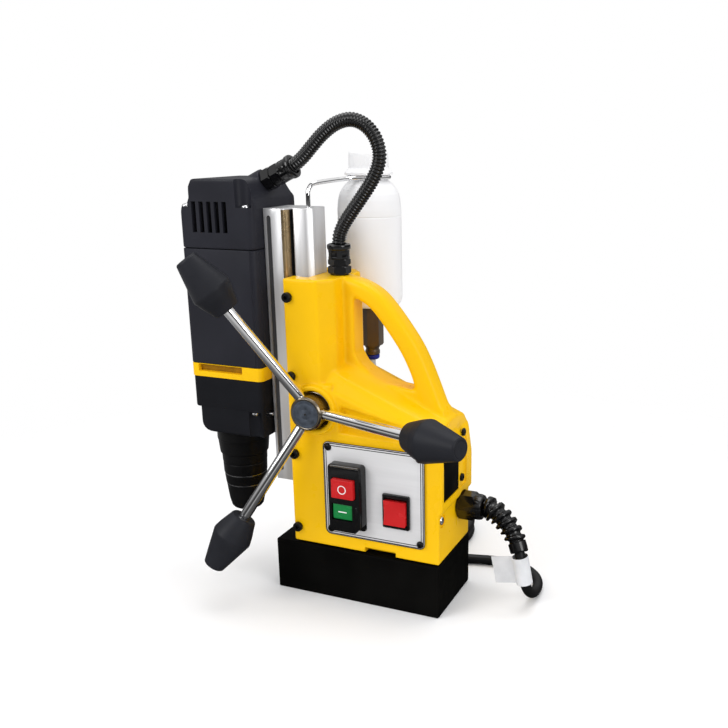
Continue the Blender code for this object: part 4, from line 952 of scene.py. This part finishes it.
MOTOR_GLAND_START = mm((-99.1, 0, 377.9))[0]
MOTOR_GLAND_AXIS = Vector((0.908, 0, 0.418)).normalized()
GLAND_NUT_LENGTH = 0.0130
CONDUIT_DIAMETER = 0.0125
RIB_PITCH = 0.0027
RIB_HEIGHT = 0.00115
CONDUIT_ROUTE = mm((-26.8, 0, 325.6), (-25.7, 0, 333), (-21.6, 0, 341.5), (-14, 0, 352), (-4.8, 0, 363.7),
    (5.2, 0, 377), (12.3, 0, 390), (14.2, 0, 402.5), (10, 0, 415.4), (0.8, 0, 425.1), (-11.8, 0, 429.4),
    (-25.8, 0, 426.5), (-39, 0, 418.3), (-50.2, 0, 408), (-59, 0, 399.4), (-67.7, 0, 392.9))


def make_gland(prefix, foot, axis, body_length):
    """A gland's body of two hexagons on a thread, and its nut with windows round it."""
    foot, axis = Vector(foot), Vector(axis).normalized()
    lower, length = body_length * 0.45, GLAND_NUT_LENGTH
    body = nut(prefix + "_hexagon", foot + axis * 0.0014, axis, 0.0104, lower, 0.08)
    join(body, lathe("thread", [(0, body_length), (0.0084, body_length), (0.0084, 0.0006), (0.0079, 0),
        (0.0079, -0.009), (0, -0.009)], foot, axis, 48))
    join(body, nut("upper", foot + axis * (0.0014 + lower + 0.0012), axis, 0.0101,
        body_length - 0.0026 - lower, 0.08))
    stand_in(smooth(body, 30), prefix + "_body")
    mouth = foot + axis * (body_length + 0.0003)
    collar = lathe(prefix + "_collar", [(0.0088, length), (0.0104, length - 0.0008),
        (0.0106, length - 0.0022), (0.0104, length - 0.0044), (0.0096, length - 0.0052), (0.0096, 0.0),
        (0.0072, 0.0), (0.0072, length)], mouth, axis, 64, 0.0003, loop=True)
    for k in range(6):
        angle = 2 * math.pi * (k + 0.5) / 6
        turn = turn_to(axis)
        offset = turn @ Vector((math.cos(angle), math.sin(angle), 0)) * 0.0096
        window = block("window", (-0.0008, -0.0026, 0.0014), (0.0012, 0.0026, length - 0.0070), 0.0003)
        place = Matrix.Translation(mouth + offset)
        window.matrix_world = place @ turn.to_matrix().to_4x4() @ Matrix.Rotation(angle, 4, "Z")
        bake(window)
        cut(collar, window)
    stand_in(smooth(collar, 30), prefix + "_nut")


def corrugation(travelled):
    """The conduit's radius: round ribs on a pitch."""
    wave = 0.5 - 0.5 * math.cos(2 * math.pi * travelled / RIB_PITCH)
    return CONDUIT_DIAMETER / 2 - RIB_HEIGHT + RIB_HEIGHT * wave ** 0.75


def make_conduit():
    make_gland("column_gland", mm((-27, 0, 298))[0], (0, 0, 1), 0.014)
    make_gland("motor_gland", MOTOR_GLAND_START, MOTOR_GLAND_AXIS, 0.020)
    start = CONDUIT_ROUTE[0] - Vector((0.0002, 0, 0.006))
    end = CONDUIT_ROUTE[-1] - MOTOR_GLAND_AXIS * 0.006
    points = smooth_path([start] + CONDUIT_ROUTE + [end], 0.00045)
    conduit = sweep("conduit_ribbed", points, corrugation, 28)
    conduit.data.materials.append(LOOKS["nylon_black"])
    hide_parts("conduit")
    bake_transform(conduit)


# ---------------------------------------------------------------- slide and drill unit

UNIT_FRONT, UNIT_REAR = -0.1680, -0.0903
UNIT_HALF = 0.038
UNIT_CORNER = 0.0055
RACK_TOP = 0.2520
GEAR_MODULE = 0.0015
SPINDLE = Vector((-0.140, 0, 0))
SIDES = ((-1, "near"), (1, "far"))
# Outline of a strip on the dovetail's flank, coloured brass as a painted reflection of the yellow housing.
SLIDE_REFLECTION_STRIP = [(-71.4, 22), (-70.4, 21.85), (-69.1, 20.95), (-68.05, 19.1), (-67.0, 14.5), (-67.7, 14.2),
    (-69.0, 18.6), (-70.0, 20.4), (-71.2, 21.4)]
# Outline of a strip of painted shade in the dovetail's neck.
SLIDE_NECK_SHADE_STRIP = [(-67.05, 14.4), (-66.45, 10.3), (-65.1, 10.3), (-64.2, 12.3), (-64.5, 12.5), (-65.3, 10.8),
    (-66.2, 10.8), (-66.8, 14.45)]


def upright_solid(name, outline_at, levels):
    """Rings of an outline, given as (height, inset) levels."""
    rings = [[(x, y, z) for x, y in outline_at(inset)] for z, inset in levels]
    return smooth(skin(name, rings), 30)


def edged(low, high, round_low, round_high):
    """Levels with softened lower and upper edges."""
    levels = []
    for share, inset in ((0.0, 1.0), (0.12, 0.5), (0.4, 0.16), (1.0, 0.0)):
        levels.append((low + round_low * share, round_low * inset))
    for share, inset in ((1.0, 0.0), (0.4, 0.16), (0.12, 0.5), (0.0, 1.0)):
        levels.append((high - round_high * share, round_high * inset))
    return levels


def unit_outline(inset=0.0):
    return rounded((UNIT_FRONT + inset, -UNIT_HALF + inset), (UNIT_REAR - inset, UNIT_HALF - inset),
        max(UNIT_CORNER - inset, 0.001))


def make_slide():
    """The plate with its dovetail block, closed at the back above the reach of the pinion."""
    half = [(-90, 20.6), (-89.6, 21.5), (-88.7, 22), (-72.2, 22), (-70.6, 21.7), (-69.3, 20.8),
        (-68.3, 19.0), (-67.2, 14.5), (-66.6, 10.5), (-65.2, 10.5), (-64.3, 12.4), (-63.5, 14.8),
        (-62, 16), (-51.5, 16.2), (-49.6, 15.2), (-46.9, 12.4), (-46, 11.2)]
    channel, seam = [(-46, 5.4), (-52.4, 5.4)], [(-46, 10.4), (-46.5, 10.1), (-46, 9.8)]
    rails = []
    for low, high, inner in ((0.1036, RACK_TOP, channel), (RACK_TOP, 0.356, seam)):
        outline = half + inner + [(x, -y) for x, y in reversed(half + inner)]
        rails.append(prism("slide_rail", flat(*outline), low, high, upright=True))
    slide = join(*rails)
    soften(slide, 0.0004, 2, 60)
    bake(slide)
    for middle in (-0.0226, 0.0226):
        slot = rounded((-0.0870, 0.112), (-0.0820, 0.3500), 0.00249, 10)
        cut(slide, prism("groove", slot, middle - 0.0022, middle + 0.0022))
    cut(slide, rod("wire_hole", *mm((-56, 0, 346), (-56, 0, 360)), 0.0023))
    stand_in(smooth(slide, 30), "slide")
    # Painted shade: a thin dark strip on the floor of each groove stands in for the shade inside it.
    groove_shade_outline = rounded((-0.0869, 0.1121), (-0.0821, 0.3499), 0.00235, 10)
    for side, name in SIDES:
        near, far = sorted((side * 0.0202, side * 0.0206))
        extra(prism(f"groove_shade_strip_{name}", groove_shade_outline, near, far), "steel", "slide", GROOVE_PAINTED_SHADE)
    for side, name in SIDES:
        edge, neck = (prism(f"slide_{part}_{name}", flat(*[(x, side * y) for x, y in outline]), 0.1045,
            0.3550, upright=True) for part, outline in (("edge", SLIDE_REFLECTION_STRIP), ("neck", SLIDE_NECK_SHADE_STRIP)))
        # The brass-coloured strip on the flank is a painted reflection of the yellow housing in the
        # aluminium.
        extra(smooth(edge, 50), "brass", "slide")
        # The strip in the neck is painted shade.
        extra(neck, "steel", "slide", NECK_PAINTED_SHADE)


def make_rack():
    """Teeth with rounded tips, as far up as the pinion can reach."""
    pitch = math.pi * GEAR_MODULE
    tip, root = -0.04527, -0.0483
    points = [(-0.052, 0.1056), (root, 0.1056)]
    number = math.ceil((0.1056 + pitch - FEED.z) / pitch - 0.5)
    while FEED.z + (number + 0.5) * pitch < RACK_TOP - pitch / 2:
        centre = FEED.z + (number + 0.5) * pitch
        points += [(root, centre - 0.31 * pitch), (tip - 0.0002, centre - 0.13 * pitch),
            (tip, centre - 0.09 * pitch), (tip, centre + 0.09 * pitch),
            (tip - 0.0002, centre + 0.13 * pitch), (root, centre + 0.31 * pitch)]
        number += 1
    points += [(root, RACK_TOP - 0.0003), (-0.052, RACK_TOP - 0.0003)]
    stand_in(smooth(prism("rack_teeth", points, -0.005, 0.005), 20), "feed_rack")


def make_motor_housing():
    body = upright_solid("motor_case", unit_outline, edged(0.2143, 0.3204, 0.0008, 0.0008))
    for x, y in ((-0.0948, -0.0386), (-0.0896, -0.0300), (-0.0948, 0.0386), (-0.0896, 0.0300)):
        cut(body, rod("flute", (x, y, 0.20), (x, y, 0.34), 0.0014, 20))
    cut(body, block("inner_room", *mm((-163, -34.5, 205), (-98.5, 34.5, 330)), 0.004))
    cut(body, rod("bolt_hole", *mm((-100, 0, 301), (-89, 0, 301)), 0.0033))
    stand_in(smooth(body, 30), "motor_housing")


def make_motor_cap():
    """The moulded cap with its gland boss, vents and screw pockets."""
    profile = flat((-168, 320.7), (-90.3, 320.7), (-90.3, 359), (-91.5, 363.8), (-98.3, 377.8),
        (-100.5, 380.3), (-104, 381.5), (-152.5, 381.5), (-154.5, 378), (-168, 351.5))
    cap = prism("motor_cap_shell", profile, -0.040, 0.040)
    bound = prism("bound", unit_outline(), 0.310, 0.390, upright=True)
    combine(cap, "INTERSECT", [bound])
    join(cap, rod("gland_boss", MOTOR_GLAND_START - MOTOR_GLAND_AXIS * 0.022,
        MOTOR_GLAND_START + MOTOR_GLAND_AXIS * 0.0008, 0.0118))
    cast(cap, 0.0009, 6)
    floor_cut = block("seam_cut", *mm((-200, -60, 300), (-60, 60, 320.8)))
    cut(cap, floor_cut)
    for x, radius in ((-0.0992, 0.0078), (-0.1640, 0.0082)):
        for y in (-0.0385, 0.0385):
            pocket = lathe("pocket", [(0, 0.040), (radius + 0.0006, 0.040), (radius, 0.0), (0, 0.0)],
                (x, y, 0.3572), sides=48, fillet=0.0006)
            cut(cap, pocket)
    cut(cap, block("cap_room", *mm((-154.5, -34, 315), (-108, 34, 368)), 0.004))
    for number in range(5):
        x = -0.1537 + number * 0.0081
        for side in (-1, 1):
            cut(cap, block("vent", (x, side * UNIT_HALF - 0.008, 0.3350),
                (x + 0.0047, side * UNIT_HALF + 0.008, 0.3620)))
    cut(cap, rod("gland_hole", MOTOR_GLAND_START - MOTOR_GLAND_AXIS * 0.020,
        MOTOR_GLAND_START + MOTOR_GLAND_AXIS * 0.010, 0.0083))
    stand_in(smooth(cap, 32), "motor_cap")
    for number, (x, y) in enumerate(((-0.0988, -0.0345), (-0.1618, -0.0342), (-0.0988, 0.0345),
            (-0.1618, 0.0342)), 1):
        screw = cross_screw(f"cap_screw_{number}", (x, y, 0.3573), (0, 0, 1), 0.0038, 0.0028)
        extra(screw, "steel", "motor_cap", SCREW_ZINC)


def make_motor_band():
    ring = upright_solid("motor_band", unit_outline, edged(0.2015, 0.2140, 0.0006, 0.0006))
    cut(ring, block("ring_room", *mm((-160.5, -32, 190), (-97, 32, 225)), 0.002))
    cut(ring, block("window", *mm((-159, -42, 206.8), (-111, -33.7, 213.6)), 0.0006))
    stand_in(smooth(ring, 30), "motor_ring")
    # Painted shade: a dark amber plate on the window's floor stands in for the shade in the recess.
    extra(block("band_window_shade", *mm((-158.8, -34, 206.9), (-111.2, -33.3, 213.5))), "housing_yellow",
        "motor_ring", WINDOW_PAINTED_SHADE)


GEARBOX_LOWER = flat((-161.5, 176), (-161.5, 157), (-160.9, 153.5), (-159.2, 150.5), (-156.5, 148.2),
    (-152.5, 147), (-148, 146.8), (-94, 146.8), (-92.5, 147.6), (-92, 149.5), (-92, 176))


def make_gearbox():
    def upper(inset):
        return unit_outline(0.0008 + inset)

    body = upright_solid("gear_case", upper, edged(0.1712, 0.2012, 0.0020, 0.0006))
    lower = soften(prism("gear_case_lower", GEARBOX_LOWER, -0.0368, 0.0330), 0.0050, 4, 50)
    bake(lower)
    nose = lathe("gear_nose", flat((0, 152), (29.2, 152), (29, 149), (27.2, 146.2), (26.2, 144.6),
        (25.6, 144), (0, 144)), SPINDLE, sides=72)
    join(body, lower, nose)
    cut(body, block("gear_room", *mm((-160, -33.5, 174.5), (-100, 31, 199)), 0.003))
    cut(body, rod("bearing_room", *mm((-140, 0, 160), (-140, 0, 175)), 0.0152))
    cut(body, rod("spindle_bore", *mm((-140, 0, 140), (-140, 0, 162)), 0.0102))
    cut(body, rod("lay_bore", *mm((-123.55, 17.48, 163), (-123.55, 17.48, 175)), 0.0041, 24))
    cut(body, lathe("screw_recess", flat((0, 29), (7.4, 29), (8, 0), (0, 0)), mm((-100.5, -40, 142.6))[0],
        sides=40))
    for side in (-1, 1):
        cut(body, rod("mount_hole", *mm((-100, 12.5 * side, 176.5), (-89, 12.5 * side, 176.5)), 0.0033))
    stand_in(smooth(body, 30), "gearbox")
    screw = cross_screw("gear_case_screw", mm((-100.3, -36.2, 171.5))[0], (0, 0, -1), 0.0034, 0.0034)
    extra(screw, "steel", "gearbox", SCREW_ZINC)
    pin = rod("gear_case_pin", *mm((-93.5, -28, 169.5), (-86.3, -28, 169.5)), 0.0015, 20)
    extra(smooth(pin), "steel", "gearbox")


def make_arbor():
    arbor = lathe("drill_arbor", flat((0, 185.7), (9, 185.7), (9.8, 184.9), (9.8, 143.8), (24.8, 143.8),
        (25.5, 143), (25.5, 133.5), (25, 132.5), (24.3, 126), (23.6, 119.2), (22.2, 118.4), (21.9, 110),
        (21.3, 109.3), (21.3, 108.5), (21.6, 107.9), (21.2, 98), (20.5, 97.3), (20.5, 96.5), (20.8, 95.9),
        (19.9, 87.2), (19.3, 86.6), (19.3, 85.8), (19.5, 85.2), (17.6, 70), (15.8, 62.5), (14, 60.3),
        (13, 60), (9.6, 60), (9.6, 95), (0, 95)), SPINDLE, sides=72, fillet=0.0003)
    stand_in(arbor, "arbor")
    for number, (z, radius) in enumerate(((0.0969, 0.0208), (0.0862, 0.0196)), 1):
        band = lathe(f"arbor_line_{number}", [(radius - 0.0006, 0.0004), (radius - 0.0001, 0.0003),
            (radius - 0.0001, -0.0003), (radius - 0.0006, -0.0004)], (SPINDLE.x, 0, z), sides=72, fillet=0,
            loop=True)
        extra(band, "steel", "arbor")


# ---------------------------------------------------------------- coolant

BOTTLE = Vector((-0.031, 0.0712, 0))
BOTTLE_RADIUS = 0.0302
CAP_FLUTES = 48
HOSE_RADIUS = 0.0029
WIRE_RADIUS = 0.0020
COOLANT_ROUTE = mm((-31, 71.2, 203.9), (-30.6, 71.2, 196), (-28.4, 70.8, 186.5), (-26.2, 69.6, 177),
    (-26.4, 67.3, 166.5), (-31.5, 64.5, 156), (-43, 62.5, 148.5), (-60, 61.5, 145), (-80, 61.5, 144.5),
    (-98, 62, 147), (-113, 61.8, 152.5), (-124, 59.8, 158.8), (-128.5, 55.0, 162.4), (-129, 50.5, 163),
    (-129, 46.75, 163))


def make_bottle():
    """A thin-walled bottle and its fluted lid."""
    radius = BOTTLE_RADIUS
    bottle = lathe("bottle_shell", [(0.0144, 0.3860), (0.0160, 0.3860), (0.0160, 0.3785), (0.0182, 0.3766),
        (0.0222, 0.3732), (0.0256, 0.3690), (0.0280, 0.3640), (0.0293, 0.3590), (radius, 0.3500),
        (radius, 0.3446), (radius - 0.0005, 0.3438), (radius, 0.3430), (radius, 0.2660), (0.0292, 0.2622),
        (0.0272, 0.2600), (0.0242, 0.2590), (0.0, 0.2590), (0.0, 0.2606), (0.0240, 0.2606),
        (0.0270, 0.2640), (radius - 0.0016, 0.2670), (radius - 0.0016, 0.3485), (0.0276, 0.3595),
        (0.0243, 0.3680), (0.0144, 0.3775)], BOTTLE, sides=72, fillet=0.0008, loop=True)
    stand_in(bottle, "coolant_bottle")
    cap = lathe("bottle_lid", flat((0, 404), (15.8, 404), (17.6, 403.2), (18.4, 401.2), (18.8, 388),
        (21.4, 385.2), (22.5, 383.8), (22.5, 381.5), (16.4, 381.5), (16.4, 386.3), (0, 386.3)), BOTTLE,
        sides=96)
    flutes = []
    for k in range(CAP_FLUTES):
        angle = 2 * math.pi * k / CAP_FLUTES
        foot = BOTTLE + Vector((math.cos(angle), math.sin(angle), 0)) * 0.0190
        low, high = Vector((0, 0, 0.3890)), Vector((0, 0, 0.4015))
        flutes.append(rod("flute", foot + low, foot + high, 0.00045, 6))
        if k:
            join(flutes[0], flutes.pop())
    cut(cap, *flutes)
    stand_in(smooth(cap, 30), "bottle_cap")


def make_bracket():
    """The wire from the slide's top round the bottle's neck."""
    ring_radius, ring_height = 0.0190, 0.3792
    start = math.atan2(-BOTTLE.y, -0.056 - BOTTLE.x)
    ring = []
    for k in range(21):
        angle = start + math.radians(25 + 15 * k)
        ring.append((BOTTLE.x + ring_radius * math.cos(angle), BOTTLE.y + ring_radius * math.sin(angle),
            ring_height))
    entry = mm((-56, 0, 347), (-56, 0, 365), (-56, 0.6, 370), (-55, 3, 374.2), (-53.4, 8, 376.4),
        (-47, 27, 378), (-39.5, 46, 379))
    wire = smooth_path(entry + [Vector(point) for point in ring], 0.0020)
    stand_in(sweep("bottle_wire", wire, lambda travelled: WIRE_RADIUS, 16), "bottle_bracket")


def make_valve_and_hose():
    valve = nut("valve_hexagon", BOTTLE + Vector((0, 0, 0.2190)), (0, 0, 1), 0.0112, 0.0370, 0.12)
    join(valve, lathe("neck", flat((0, 258.7), (8.5, 258.7), (8.5, 254.5), (7, 254), (7, 220),
        (7.8, 218.5), (7.4, 216.8), (6.6, 216), (6.6, 214), (7.3, 213.3), (7.3, 210), (6.8, 209.5),
        (0, 209.5)), BOTTLE, sides=48))
    stand_in(smooth(valve, 25), "drip_valve")
    collar = lathe("hose_ring", flat((3, 209.2), (6.4, 209.2), (7, 208.4), (6.8, 205.8), (5.2, 204.5),
        (3, 204.5)), BOTTLE, sides=48, loop=True)
    stand_in(collar, "hose_collar")

    points = smooth_path([COOLANT_ROUTE[0] + Vector((0, 0, 0.004))] + COOLANT_ROUTE, 0.004)
    hose = round_cord("coolant_hose", points, HOSE_RADIUS)
    stand_in(hose, "coolant_tube")


# ---------------------------------------------------------------- feed

SPOKE_CONE = math.radians(18.7)
SPOKE_FIRST = math.radians(0.9)
SPOKE_APEX = Vector((FEED.x, -0.044, FEED.z))
KNOB_START, KNOB_END = 0.115, 0.169


def spoke_direction(number):
    angle = SPOKE_FIRST + number * math.radians(120)
    cone = math.cos(SPOKE_CONE)
    return Vector((cone * math.cos(angle), -math.sin(SPOKE_CONE), cone * math.sin(angle)))


def make_feed():
    axis = Vector((0, -1, 0))
    hub = lathe("feed_hub_body", flat((0, 55.8), (12.8, 55.8), (13.2, 56.1), (14.2, 56), (15.5, 54.3),
        (15.5, 40), (16.7, 39.5), (16.7, 36), (7.12, 36), (7.12, 52.4), (0, 52.4)), FEED, axis, 96, 0.0003)
    disc = lathe("feed_hub_disc", flat((0, 55.8), (1, 55.8), (1, 55.97), (4.2, 55.97), (4.4, 55.88),
        (4.8, 55.88), (5, 55.97), (9.8, 55.97), (10, 55.88), (10.4, 55.88), (10.6, 55.97), (12.6, 55.97),
        (12.7, 55.7), (0, 55.7)), FEED, axis, 96, 0)
    for number in range(3):
        direction = spoke_direction(number)
        socket = rod("socket", SPOKE_APEX + direction * 0.0094, SPOKE_APEX + direction * 0.030, 0.0051)
        cut(hub, socket)
        spoke = lathe(f"spoke_rod_{number + 1}", [(0, 0.0096), (0.0046, 0.0096), (0.0050, 0.0100),
            (0.0050, KNOB_START + 0.0195), (0.0046, KNOB_START + 0.020), (0, KNOB_START + 0.020)],
            SPOKE_APEX, direction, 64, 0.0002)
        stand_in(spoke, f"spoke_{number + 1}")
        length = KNOB_END - KNOB_START
        widest = 0.40 * length
        knob = lathe(f"knob_grip_{number + 1}", [(0, length - 0.0003), (0.0016, length - 0.0003),
            (0.0018, length - 0.0001), (0.0066, length - 0.0001), (0.0068, length - 0.0004),
            (0.0073, length - 0.0004), (0.0075, length), (0.0086, length), (0.0097, length - 0.0010),
            (0.0138, length * 0.70), (0.0177, widest + 0.0014), (0.0181, widest + 0.0002),
            (0.0180, widest - 0.0014), (0.0162, widest - 0.0080), (0.0117, 0.0010), (0.0108, 0),
            (0.0051, 0), (0.0051, 0.0203), (0, 0.0203)], SPOKE_APEX + direction * KNOB_START, direction,
            80, 0.0005)
        stand_in(knob, f"spoke_knob_{number + 1}")
    stand_in(smooth(hub, 30), "feed_hub")
    extra(disc, "hub_steel", "feed_hub", LOOKS["hub_face"])


make_housing()
make_gib_screws()
make_panel()
make_switch()
make_buttons()
make_rocker()
boot = make_rear()
make_conduit()
make_slide()
make_rack()
make_motor_housing()
make_motor_cap()
make_motor_band()
make_gearbox()
make_arbor()
make_bottle()
make_bracket()
make_valve_and_hose()
make_feed()

for node, item in frame["nodes"].items():
    item.data.materials.clear()
    item.data.materials.append(LOOKS[SLOT_OF[node]])
